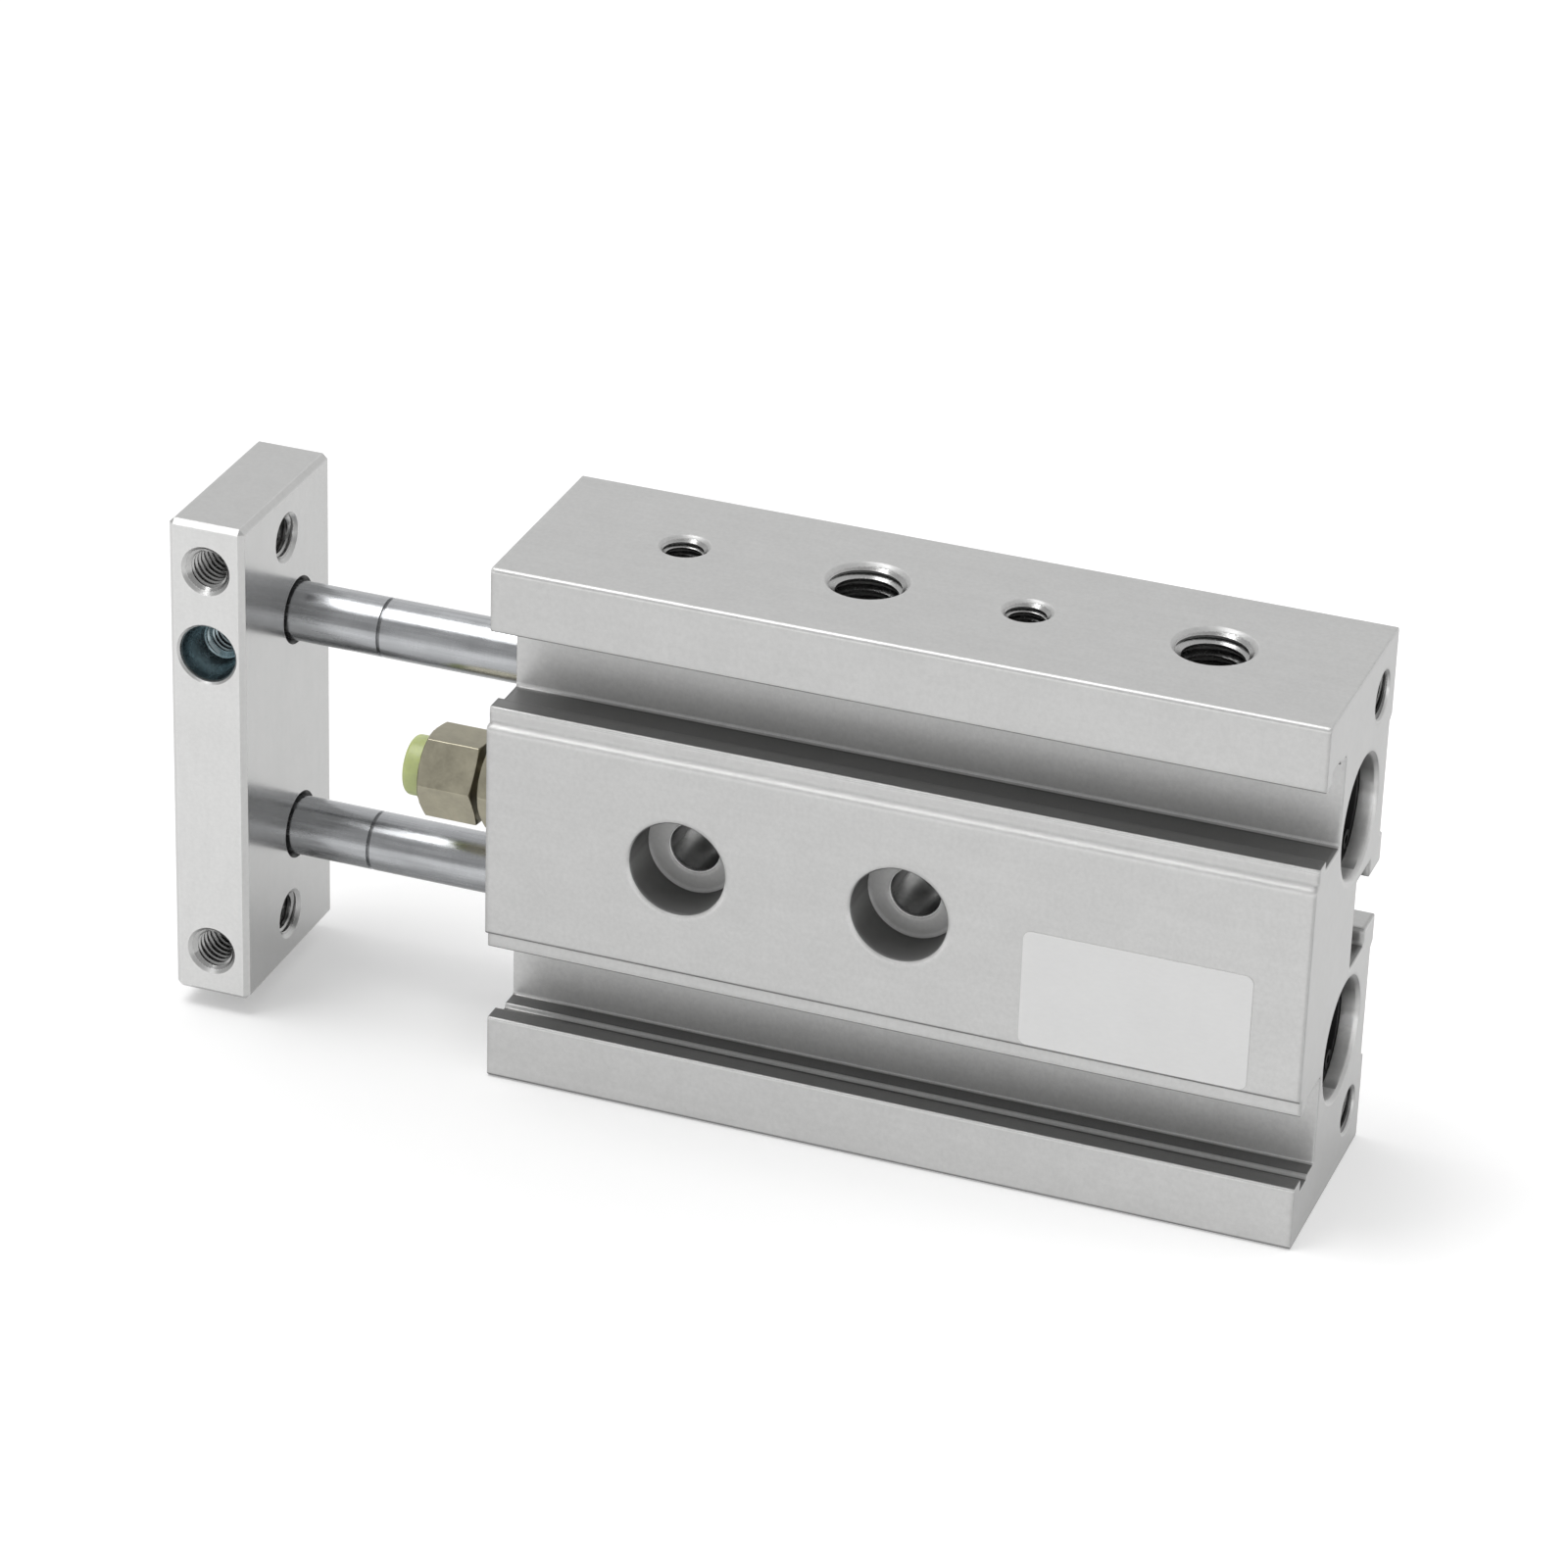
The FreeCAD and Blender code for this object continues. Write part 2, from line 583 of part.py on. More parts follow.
def lower_piston_rod():
    """The rod that is drawn against the plate by a screw along its axis, with the screw's tapped hole."""
    web = PLATE_THICKNESS - LOWER_SOCKET_DEPTH - END_SCREW_HEAD_BORE_DEPTH
    tapped = END_SCREW_LENGTH - web + OVERCUT
    mouth = Vector(PLATE_INNER_X - LOWER_SOCKET_DEPTH + SEAT_GAP, 0, 0)
    return piston_rod(LOWER_SOCKET_DEPTH, LOWER_ROD_MARK).cut(drill(mouth, X_AXIS, END_SCREW, tapped))


def chamfered_plate():
    """The end plate's blank with its edges broken."""
    corner = Vector(PLATE_OUTER_X, -PLATE_DEPTH / 2, MID_Z - PLATE_HEIGHT / 2)
    blank = Part.makeBox(PLATE_THICKNESS, PLATE_DEPTH, PLATE_HEIGHT, corner)
    return blank.makeChamfer(PLATE_CHAMFER, blank.Edges)


def plate_taps():
    """Tapped holes near the plate's ends, one along the stroke and one across it at each end."""
    holes = []
    for side in (-1, 1):
        z = MID_Z + side * PLATE_TAP_SPACING / 2
        inner = Vector(PLATE_INNER_X, 0, z)
        outer = Vector(PLATE_OUTER_X, 0, z)
        front = Vector(PLATE_MID_X, -PLATE_DEPTH / 2, z)
        back = Vector(PLATE_MID_X, PLATE_DEPTH / 2, z)
        holes.append(chamfered_hole(inner, -X_AXIS, M3, PLATE_TAP_CHAMFER, PLATE_THICKNESS + OVERCUT))
        holes.append(countersink(outer, X_AXIS, M3, PLATE_TAP_CHAMFER))
        holes.append(chamfered_hole(front, Y_AXIS, M3, PLATE_TAP_CHAMFER, PLATE_DEPTH + OVERCUT))
        holes.append(countersink(back, -Y_AXIS, M3, PLATE_TAP_CHAMFER))
    return holes


def rod_sockets():
    """The two rods' seats in the plate, the upper one's clamp hole and the lower one's screw seat."""
    upper = Vector(PLATE_INNER_X, BORE_OFFSET, UPPER_Z)
    lower = Vector(PLATE_INNER_X, BORE_OFFSET, LOWER_Z)
    clamp = Vector(PLATE_MID_X, -PLATE_DEPTH / 2, UPPER_Z)
    screw = Vector(PLATE_OUTER_X, BORE_OFFSET, LOWER_Z)
    seat = ROD + 2 * SEAT_GAP
    return [
        chamfered_hole(upper, -X_AXIS, seat, ROD_SOCKET_CHAMFER, UPPER_SOCKET_DEPTH),
        chamfered_hole(lower, -X_AXIS, seat, ROD_SOCKET_CHAMFER, LOWER_SOCKET_DEPTH),
        chamfered_hole(clamp, Y_AXIS, CLAMP_SCREW, CLAMP_SCREW_CHAMFER, PLATE_DEPTH / 2 + BORE_OFFSET),
        drill(screw, X_AXIS, END_SCREW_HOLE, PLATE_THICKNESS),
        drill(screw, X_AXIS, END_SCREW_HEAD_BORE, END_SCREW_HEAD_BORE_DEPTH),
    ]


def end_plate():
    """The tooling plate that joins the two rods."""
    return chamfered_plate().cut(plate_taps() + rod_sockets()).removeSplitter()


def rod_clamp_screw():
    """The plug screw that clamps the upper rod, cupped and tapped in front to be drawn out."""
    start = -PLATE_DEPTH / 2 + CLAMP_SCREW_RECESS
    length = BORE_OFFSET - ROD / 2 - SEAT_GAP - start
    outer = CLAMP_SCREW / 2 - THREAD_GAP
    tap = CLAMP_SCREW_TAP / 2
    tap_x = CLAMP_SCREW_CUP_DEPTH + CLAMP_SCREW_TAP_CHAMFER
    tap_end_x = CLAMP_SCREW_CUP_DEPTH + CLAMP_SCREW_TAP_DEPTH
    screw = turned([
        (0, CLAMP_SCREW_CUP / 2), (0, outer), (length, outer), (length, 0), (tap_end_x, 0), (tap_end_x, tap),
        (tap_x, tap), (CLAMP_SCREW_CUP_DEPTH, tap + CLAMP_SCREW_TAP_CHAMFER),
    ])
    screw.rotate(Vector(0, 0, 0), Z_AXIS, 90)
    screw.translate(Vector(PLATE_MID_X, start, UPPER_Z))
    return screw


def rod_end_screw():
    """The socket screw that draws the lower rod into its seat."""
    head_x = PLATE_OUTER_X + END_SCREW_HEAD_BORE_DEPTH - END_SCREW_HEAD_HEIGHT
    seat_x = PLATE_OUTER_X + END_SCREW_HEAD_BORE_DEPTH
    radius = END_SCREW_HEAD / 2
    shank = END_SCREW / 2 - THREAD_GAP
    screw = turned([
        (head_x, 0), (head_x, radius - PLATE_CHAMFER), (head_x + PLATE_CHAMFER, radius), (seat_x, radius),
        (seat_x, shank), (seat_x + END_SCREW_LENGTH, shank), (seat_x + END_SCREW_LENGTH, 0),
    ])
    socket = hexagon(END_SCREW_SOCKET, head_x - OVERCUT, END_SCREW_SOCKET_DEPTH + OVERCUT)
    return on_bore(screw.cut(socket), LOWER_Z)


def chamfered_hexagon(start_x, length):
    """A hexagon with its corners turned off at both ends, more at the end that is seen."""
    flat = STOPPER_FLATS / 2
    corner = STOPPER_FLATS / math.sqrt(3)
    front_drop = (corner - flat) * math.tan(math.radians(STOPPER_HEX_CHAMFER))
    seat_drop = (corner - flat) * math.tan(math.radians(STOPPER_SEAT_CHAMFER))
    end_x = start_x + length
    envelope = turned([
        (start_x, 0), (start_x, flat), (start_x + front_drop, corner),
        (end_x - seat_drop, corner), (end_x, flat), (end_x, 0),
    ])
    return hexagon(STOPPER_FLATS, start_x, length, STOPPER_TURN).common(envelope)


def on_stopper(shape):
    """Moves a shape made on the X axis to the stopper's axis."""
    shape.translate(Vector(0, STOPPER_OFFSET, MID_Z))
    return shape


def stopper_lock_nut():
    """The nut that locks the stopper against the barrel."""
    nut = chamfered_hexagon(STOPPER_NUT_X, STOPPER_NUT_HEIGHT)
    return on_stopper(nut.cut(rod_bore(STOPPER_THREAD, STOPPER_NUT_X - OVERCUT, FRONT_X + OVERCUT)))


def stopper_bolt():
    """The stroke-setting bolt, with a pocket for the bumper in its head."""
    head = chamfered_hexagon(STOPPER_HEAD_X, STOPPER_HEAD_HEIGHT)
    shank = rod_bore(STOPPER_THREAD - 2 * THREAD_GAP, STOPPER_SEAT_X, FRONT_X + STOPPER_ENGAGEMENT)
    pocket = rod_bore(BUMPER, STOPPER_HEAD_X - OVERCUT, STOPPER_HEAD_X + BUMPER_POCKET_DEPTH)
    return on_stopper(head.fuse(shank).cut(pocket).removeSplitter())


def stopper_bumper():
    """The soft plug that the plate meets at full retraction."""
    radius = BUMPER / 2 - SEAT_GAP
    end_x = STOPPER_HEAD_X + BUMPER_POCKET_DEPTH - SEAT_GAP
    return on_stopper(turned([
        (BUMPER_X, 0), (BUMPER_X, radius - BUMPER_CHAMFER), (BUMPER_X + BUMPER_CHAMFER, radius),
        (end_x, radius), (end_x, 0),
    ]))


def build():
    """Every piece by its node name."""
    nodes = {
        "barrel": barrel(),
        "end_plate": end_plate(),
        "rod_clamp_screw": rod_clamp_screw(),
        "rod_end_screw": rod_end_screw(),
        "stopper_bolt": stopper_bolt(),
        "stopper_lock_nut": stopper_lock_nut(),
        "stopper_bumper": stopper_bumper(),
        "piston_rod_upper": on_bore(piston_rod(UPPER_SOCKET_DEPTH, UPPER_ROD_MARK), UPPER_Z),
        "piston_rod_lower": on_bore(lower_piston_rod(), LOWER_Z),
    }
    twins = {
        "front_retaining_ring": retaining_ring(FRONT_RING_X + SEAT_GAP),
        "seal_washer": seal_washer(),
        "rod_cover": rod_cover(),
        "rod_bush": rod_bush(),
        "rod_seal": rod_seal(),
        "rod_cover_oring": rod_cover_oring(),
        "head_cover": head_cover(),
        "head_cover_oring": head_cover_oring(),
        "rear_retaining_ring": retaining_ring(REAR_RING_X + SEAT_GAP),
        "piston": piston(),
        "piston_seal": piston_seal(),
        "piston_magnet": piston_magnet(),
        "piston_nut": piston_nut(),
        "piston_damper": piston_damper(),
    }
    for name, shape in twins.items():
        for side, z in SIDES:
            nodes[f"{name}_{side}"] = on_bore(shape, z)
    return nodes


def main():
    os.makedirs("parts", exist_ok=True)
    for name, shape in build().items():
        if not shape.isValid():
            raise RuntimeError(f"{name} is not a valid shape")
        shape.exportStep(f"parts/{name}.step")
        print(f"{name}: {len(shape.Solids)} solid, {shape.Volume:.2f} mm3")


main()
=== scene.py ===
import json
import math

import bpy
from mathutils import Matrix, Vector

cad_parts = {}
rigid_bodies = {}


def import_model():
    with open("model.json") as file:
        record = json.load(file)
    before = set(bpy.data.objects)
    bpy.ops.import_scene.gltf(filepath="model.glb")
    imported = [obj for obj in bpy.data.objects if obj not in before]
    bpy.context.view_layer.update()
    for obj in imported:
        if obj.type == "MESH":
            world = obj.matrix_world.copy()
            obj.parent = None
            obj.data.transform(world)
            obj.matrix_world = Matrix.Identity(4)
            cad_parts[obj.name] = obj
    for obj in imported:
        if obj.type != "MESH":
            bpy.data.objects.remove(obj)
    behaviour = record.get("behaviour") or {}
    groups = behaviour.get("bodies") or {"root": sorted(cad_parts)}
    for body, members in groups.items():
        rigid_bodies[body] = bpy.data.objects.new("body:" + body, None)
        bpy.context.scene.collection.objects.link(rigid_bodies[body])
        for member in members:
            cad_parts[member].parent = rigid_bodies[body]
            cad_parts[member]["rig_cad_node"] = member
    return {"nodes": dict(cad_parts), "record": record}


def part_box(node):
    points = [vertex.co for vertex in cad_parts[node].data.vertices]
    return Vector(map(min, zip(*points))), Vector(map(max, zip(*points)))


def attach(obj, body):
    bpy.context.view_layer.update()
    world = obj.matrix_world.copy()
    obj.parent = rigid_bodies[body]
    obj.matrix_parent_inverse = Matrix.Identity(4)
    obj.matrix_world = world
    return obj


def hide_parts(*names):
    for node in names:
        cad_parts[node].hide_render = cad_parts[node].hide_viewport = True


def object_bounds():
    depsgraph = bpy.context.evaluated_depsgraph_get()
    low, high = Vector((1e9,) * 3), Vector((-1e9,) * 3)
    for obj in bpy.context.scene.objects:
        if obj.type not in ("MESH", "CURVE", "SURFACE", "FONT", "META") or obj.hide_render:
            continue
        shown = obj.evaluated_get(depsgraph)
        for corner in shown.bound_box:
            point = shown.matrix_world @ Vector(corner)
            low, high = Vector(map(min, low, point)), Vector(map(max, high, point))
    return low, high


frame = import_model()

bl_info = {
    "name": "Double rod cylinder finish",
    "version": (1, 0, 0),
    "blender": (4, 5, 0),
    "location": "View3D > Sidebar > Cylinder",
    "description": "Finishes, threads, stopper, label and studio for a double rod air cylinder",
    "category": "Object",
}

CAD_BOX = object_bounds()
BARREL_LOW, BARREL_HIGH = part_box("barrel")
PLATE_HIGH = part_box("end_plate")[1]
BUMPER_LOW, BUMPER_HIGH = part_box("stopper_bumper")
CLAMP_LOW, CLAMP_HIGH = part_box("rod_clamp_screw")
ROD_BOXES = {side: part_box(f"piston_rod_{side}") for side in ("upper", "lower")}
MOUNTS = {mount["name"]: mount for mount in frame["record"]["mounts"]}
MM = 0.001
X_AXIS, Y_AXIS, Z_AXIS = Vector((1, 0, 0)), Vector((0, 1, 0)), Vector((0, 0, 1))
SIDES = tuple(ROD_BOXES)
M3_RADIUS, M5_RADIUS = 1.5 * MM, 2.5 * MM
MERGE, FINE_MERGE = 1e-6, 1e-8
MASK_BLUR = 0.02 * MM

# The camera was fitted to the photograph: its directions and its place
CAMERA_RIGHT = Vector((0.936295, 0.349947, 0.029812))
CAMERA_UP = Vector((-0.187238, 0.425538, 0.885358))
CAMERA_BACK = Vector((0.297142, -0.834539, 0.463952))
CAMERA_PLACE = Vector((0.105644, -0.325014, 0.202429))
SENSOR_WIDTH = 36.0
LAMP_PLACE = Vector((-0.30, -0.12, 0.86))

# Where the room's light starts and stops growing, from the camera's side to the backdrop
ROOM_START, ROOM_END = -0.8, 1.15


# Properties that a user would change

def length(name, description, default):
    """A length in metres with its own unit."""
    return bpy.props.FloatProperty(
        name=name, description=description, default=default, min=0.0, precision=6,
        subtype="DISTANCE", unit="LENGTH")


def colour(name, description, default):
    """A colour with no alpha."""
    return bpy.props.FloatVectorProperty(
        name=name, description=description, default=default, size=3, min=0.0, max=1.0,
        subtype="COLOR")


def factor(name, description, default):
    """A number from nought to one."""
    return bpy.props.FloatProperty(
        name=name, description=description, default=default, min=0.0, max=1.0, subtype="FACTOR")


class CylinderColours(bpy.types.PropertyGroup):
    """Colours of the finishes."""

    anodised: colour("Barrel", "Satin clear anodised extrusion", (0.56, 0.56, 0.555))
    plate: colour("End plate", "Milled and anodised plate", (0.55, 0.55, 0.545))
    cover: colour("Covers", "Turned aluminium covers and pistons", (0.50, 0.50, 0.50))
    rod: colour("Rods", "Hard chromed and ground rods", (0.485, 0.495, 0.51))
    nickel: colour("Stopper", "Nickel plated stopper bolt and lock nut", (0.39, 0.365, 0.28))
    zinc: colour("Clamp screw", "Blue zinc plated clamp screw", (0.42, 0.51, 0.54))
    black: colour("End screw", "Black oxide screw", (0.02, 0.02, 0.022))
    spring: colour("Retaining rings", "Phosphated spring steel", (0.02, 0.02, 0.02))
    washer: colour("Washers and nuts", "Plain steel", (0.38, 0.38, 0.38))
    bronze: colour("Bushes", "Sintered bronze", (0.42, 0.24, 0.09))
    rubber: colour("Seals", "Matt nitrile rubber", (0.012, 0.012, 0.013))
    bumper: colour("Bumper", "Pale translucent urethane", (0.53, 0.595, 0.275))
    damper: colour("Dampers", "Amber urethane", (0.45, 0.26, 0.05))
    magnet: colour("Magnets", "Dark sintered magnet", (0.05, 0.05, 0.055))
    label: colour("Label", "Blank white label", (0.90, 0.90, 0.895))


class CylinderSizes(bpy.types.PropertyGroup):
    """Sizes of the pieces that are modelled here."""

    m3_pitch: length("M3 pitch", "Rise of the M3 threads in one turn", 0.5 * MM)
    m5_pitch: length("M5 pitch", "Rise of the M5 threads in one turn", 0.8 * MM)
    clamp_pitch: length("Clamp screw pitch", "Rise of its inner thread in one turn", 0.45 * MM)
    clamp_tap: length("Clamp screw tap", "Radius of the clamp screw's inner thread", 1.25 * MM)
    clamp_cup: length("Clamp screw cup", "Depth of the clamp screw's cup", 2.2 * MM)
    clamp_chamfer: length("Clamp screw chamfer", "Width of the chamfer at its inner thread", 0.12 * MM)
    clamp_tap_depth: length("Clamp screw thread", "Thread length in the clamp screw", 2.4 * MM)
    upper_mark: length("Upper ring mark", "From the plate to the upper rod's ring mark", 6.55 * MM)
    lower_mark: length("Lower ring mark", "From the plate to the lower rod's ring mark", 5.8 * MM)
    mark_width: length("Ring mark width", "Width of the rods' ring marks", 0.21 * MM)
    rod_seat: length("Rod seat", "Radius of the chamfered seats that the rods go into", 2.31 * MM)
    # The sizes from here to the rear tap bound where the barrel's holes, bore mouths and pad edges get
    # painted light and shade.
    pad_bore: length("Pad counterbore", "Radius of the counterbores in the pad", 3.27 * MM)
    pad_bolt: length("Pad bolt hole", "Radius of the through holes in the pad", 1.75 * MM)
    pad_half: length("Pad", "Half the pad's height, with part of the strips beside it", 8.5 * MM)
    pad_edge: length("Pad edge", "Radius that the pad's edges are shaded to", 0.55 * MM)
    rear_bore: length("Rear bore", "Radius of the bores' rear mouths", 4.03 * MM)
    rear_tap: length("Rear tap", "Radius of the dark tapped holes in the rear end", 1.53 * MM)
    m3_chamfer: length("M3 chamfer", "Width of the chamfer at an M3 hole's mouth", 0.2 * MM)
    plate_chamfer: length("Plate chamfer", "Width of the chamfer at the plate's holes", 0.23 * MM)
    m5_chamfer: length("M5 chamfer", "Width of the chamfer at a port's mouth", 0.25 * MM)
    side_tap_depth: length("Side tap thread", "Thread length of the top and base taps", 4.4 * MM)
    rear_tap_depth: length("Rear tap thread", "Thread length of the rear taps", 5.2 * MM)
    port_depth: length("Port thread", "Thread length of the ports", 4.4 * MM)
    plate_end_depth: length("Plate face thread", "Thread on each side of the crossing", 1.2 * MM)
    plate_edge_depth: length("Plate edge thread", "Thread on each side of the crossing", 5.2 * MM)
    edge_break: length("Broken edge", "Width of the broken edges", 0.07 * MM)
    label_length: length("Label length", "Length of the label along the barrel", 15.0 * MM)
    label_height: length("Label height", "Height of the label", 8.1 * MM)
    label_corner: length("Label corner", "Radius of the label's corners", 0.55 * MM)
    label_thickness: length("Label thickness", "Thickness of the label", 0.06 * MM)
    label_right: length("Label right edge", "From the barrel's rear end to the label", 3.5 * MM)
    label_low: length("Label low edge", "From the barrel's base to the label", 11.2 * MM)


class CylinderStudio(bpy.types.PropertyGroup):
    """The floor, the room's light, the lamp and the camera."""

    floor_size: length("Floor", "Side of the floor", 6.0)
    floor_colour: colour("Floor colour", "Pale floor", (0.80, 0.80, 0.80))
    lamp_power: bpy.props.FloatProperty(
        name="Overhead lamp", description="Power of the overhead softbox", default=4.0, min=0.0,
        unit="POWER")
    lamp_size: length("Overhead lamp size", "Side of the overhead softbox", 0.50)
    room_front: factor("Room in front", "Strength of the room's light from the camera's side", 0.52)
    room_back: factor("Room behind", "Strength of the backdrop's light", 0.88)
    room_slant: factor("Room slant", "How much of the backdrop's light comes from the right", 0.15)
    glow_left: factor("Floor glow, left", "Share of the floor's white that needs no lamp, rod end", 0.23)
    glow_right: factor("Floor glow, right", "Share of the floor's white that needs no lamp, head end", 0.36)
    lens: bpy.props.FloatProperty(
        name="Lens", description="Focal length of the camera", default=138.979, min=1.0, unit="CAMERA")


# Selection and finishing of meshes

def clear_selection():
    """Leaves nothing selected, in object mode."""
    if bpy.context.object and bpy.context.object.mode != "OBJECT":
        bpy.ops.object.mode_set(mode="OBJECT")
    bpy.ops.object.select_all(action="DESELECT")


def take(piece):
    """Makes one piece the selected and active one."""
    clear_selection()
    piece.select_set(True)
    bpy.context.view_layer.objects.active = piece


def edit(piece, select="SELECT", mode="VERT"):
    """Enters edit mode on a piece with all or nothing selected."""
    take(piece)
    bpy.ops.object.mode_set(mode="EDIT")
    bpy.ops.mesh.select_mode(type=mode)
    bpy.ops.mesh.select_all(action=select)


def pick(piece, kind, test):
    """Selects the vertices, edges or faces that pass a test, and returns to edit mode."""
    bpy.ops.mesh.select_all(action="DESELECT")
    bpy.ops.object.mode_set(mode="OBJECT")
    found = 0
    for part in getattr(piece.data, kind):
        if test(part):
            part.select = True
            found += 1
    if not found:
        raise RuntimeError(f"{piece.name}: nothing to select")
    bpy.ops.object.mode_set(mode="EDIT")


def named(name):
    """The new active object under its own name, with a mesh of that name."""
    piece = bpy.context.object
    piece.name = name
    piece.data.name = name
    return piece


def apply_place(piece):
    """Puts a piece's place into its mesh."""
    take(piece)
    bpy.ops.object.transform_apply(location=True, rotation=True, scale=True)


def apply_modifier(piece, kind, **settings):
    """Adds a modifier, sets it and applies it."""
    take(piece)
    modifier = piece.modifiers.new(kind.lower(), kind)
    for setting, value in settings.items():
        setattr(modifier, setting, value)
    bpy.ops.object.modifier_apply(modifier=modifier.name)


def outward(piece):
    """Turns a closed mesh's faces outwards."""
    edit(piece)
    bpy.ops.mesh.normals_make_consistent(inside=False)
    bpy.ops.object.mode_set(mode="OBJECT")


def smooth(piece, angle):
    """Shades a piece smooth up to an angle in degrees, with broad faces kept flat."""
    take(piece)
    bpy.ops.object.shade_smooth_by_angle(angle=math.radians(angle))
    apply_modifier(piece, "WEIGHTED_NORMAL", mode="FACE_AREA", weight=80, keep_sharp=True)


def seat(piece, body, material):
    """Gives a finished piece its material and body."""
    piece.data.materials.clear()
    piece.data.materials.append(material)
    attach(piece, body)
    clear_selection()
    return piece


def paint(material, *nodes):
    """Gives CAD nodes a material."""
    for node in nodes:
        mesh = frame["nodes"][node].data
        mesh.materials.clear()
        mesh.materials.append(material)


def edged_copy(node, name, width, sharpness=60.0, segments=2):
    """A merged copy of a CAD node with its sharp edges broken."""
    source = frame["nodes"][node]
    take(source)
    bpy.ops.object.duplicate()
    piece = named(name)
    piece.parent = None
    del piece["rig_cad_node"]
    take(piece)
    bpy.ops.mesh.customdata_custom_splitnormals_clear()
    edit(piece)
    bpy.ops.mesh.remove_doubles(threshold=MERGE)
    bpy.ops.mesh.dissolve_limited(angle_limit=math.radians(0.5))
    bpy.ops.mesh.select_mode(type="EDGE")
    bpy.ops.mesh.select_all(action="DESELECT")
    bpy.ops.mesh.edges_select_sharp(sharpness=math.radians(sharpness))
    bpy.ops.mesh.bevel(offset=width, offset_type="OFFSET", segments=segments, clamp_overlap=False)
    bpy.ops.object.mode_set(mode="OBJECT")
    smooth(piece, 32.0)
    return piece


# Materials

class Finish:
    """A node material under construction."""

    def __init__(self, name, base, metallic, roughness):
        self.material = bpy.data.materials.new(name)
        self.material.use_nodes = True
        self.nodes = self.material.node_tree.nodes
        self.links = self.material.node_tree.links
        self.shader = self.nodes["Principled BSDF"]
        self.base = tuple(base)
        self.shader.inputs["Base Color"].default_value = (*self.base, 1)
        self.shader.inputs["Metallic"].default_value = metallic
        self.shader.inputs["Roughness"].default_value = roughness
        self.place = self.nodes.new("ShaderNodeTexCoord").outputs["Object"]

    def socket(self, name, value):
        """Sets one of the shader's own sockets."""
        self.shader.inputs[name].default_value = value

    def node(self, kind, *wires, **settings):
        """Adds a node, with wires as (input, output) pairs."""
        node = self.nodes.new(kind)
        for setting, value in settings.items():
            setattr(node, setting, value)
        for into, out in wires:
            if hasattr(out, "links"):
                self.links.new(out, node.inputs[into])
            else:
                node.inputs[into].default_value = out
        return node

    def stretched(self, scale):
        """Object coordinates times a scale along each axis."""
        return self.node("ShaderNodeMapping", ("Vector", self.place), ("Scale", scale)).outputs["Vector"]

    def grain(self, scale, detail=3.0, rough=0.55):
        """Noise whose scale is its cells to the millimetre along each axis."""
        vector = self.stretched(tuple(value / MM for value in scale))
        return self.node("ShaderNodeTexNoise", ("Vector", vector), ("Scale", 1.0),
                         ("Detail", detail), ("Roughness", rough)).outputs["Fac"]

    def spread(self, value, low, high, start=0.3, end=0.7):
        """Maps a value between two numbers."""
        return self.node("ShaderNodeMapRange", ("Value", value), ("From Min", start), ("From Max", end),
                         ("To Min", low), ("To Max", high)).outputs["Result"]

    def join(self, first, second, operation="ADD"):
        """Joins two values by adding them, or by another operation."""
        return self.node("ShaderNodeMath", (0, first), (1, second), operation=operation).outputs[0]

    def product(self, total, *others):
        """Multiplies values together."""
        for value in others:
            total = self.join(total, value, "MULTIPLY")
        return total

    def shade(self, *values):
        """Multiplies the base colour by one or more values."""
        total = self.product(*values)
        tone = self.node("ShaderNodeVectorMath", (0, self.base), ("Scale", total), operation="SCALE")
        self.links.new(tone.outputs["Vector"], self.shader.inputs["Base Color"])

    def edges(self, radius, low, high):
        """A value that is high within a radius of an edge, and low on flat faces."""
        bevel = self.node("ShaderNodeBevel", ("Radius", radius), samples=4).outputs["Normal"]
        flat = self.node("ShaderNodeNewGeometry").outputs["Normal"]
        turn = self.node("ShaderNodeVectorMath", (0, bevel), (1, flat), operation="DOT_PRODUCT")
        return self.spread(turn.outputs["Value"], high, low, 0.86, 0.995)

    def facing(self, axis, low, high):
        """A value that goes from low to high on faces square to an axis."""
        normal = self.node("ShaderNodeTexCoord").outputs["Normal"]
        part = self.node("ShaderNodeSeparateXYZ", ("Vector", normal)).outputs[axis]
        return self.spread(self.join(part, 0.0, "ABSOLUTE"), low, high, 0.93, 0.98)

    def painted_recess_shade(self, reach, low, start=0.06, end=0.27):
        """Painted shade: a value that is low deep in holes and grooves, and one on open faces."""
        sky = self.node("ShaderNodeAmbientOcclusion", ("Distance", reach), samples=8, only_local=True)
        return self.spread(sky.outputs["AO"], low, 1.0, start, end)

    def rising(self, low, high, start, end):
        """A value that goes from low to high as a face's normal rises from a start to an end."""
        normal = self.node("ShaderNodeTexCoord").outputs["Normal"]
        part = self.node("ShaderNodeSeparateXYZ", ("Vector", normal)).outputs["Z"]
        return self.spread(part, low, high, start, end)

    def painted_lower_edge_shade(self, low):
        """Painted shade: a value that is low where an edge turns down, and one elsewhere, the flat base too.
        """
        leaning = self.rising(low, 1.0, -0.40, -0.06)
        base = self.rising(1.0, 0.0, -0.99, -0.93)
        return self.join(leaning, base, "MAXIMUM")

    def offset(self, axis, middle):
        """How far a point is from a plane across an axis."""
        part = self.node("ShaderNodeSeparateXYZ", ("Vector", self.place)).outputs[axis]
        return self.join(self.join(part, middle, "SUBTRACT"), 0.0, "ABSOLUTE")

    def within(self, distance, reach, low):
        """A value that is low where a distance is less than a reach, and one elsewhere."""
        return self.spread(distance, low, 1.0, reach, reach + MASK_BLUR)

    def around(self, axis, place):
        """How far a point is from a line along an axis."""
        squares = [self.join(self.offset(other, place["XYZ".index(other)]), 2.0, "POWER")
                   for other in "XYZ" if other != axis]
        return self.join(self.join(*squares), 0.5, "POWER")

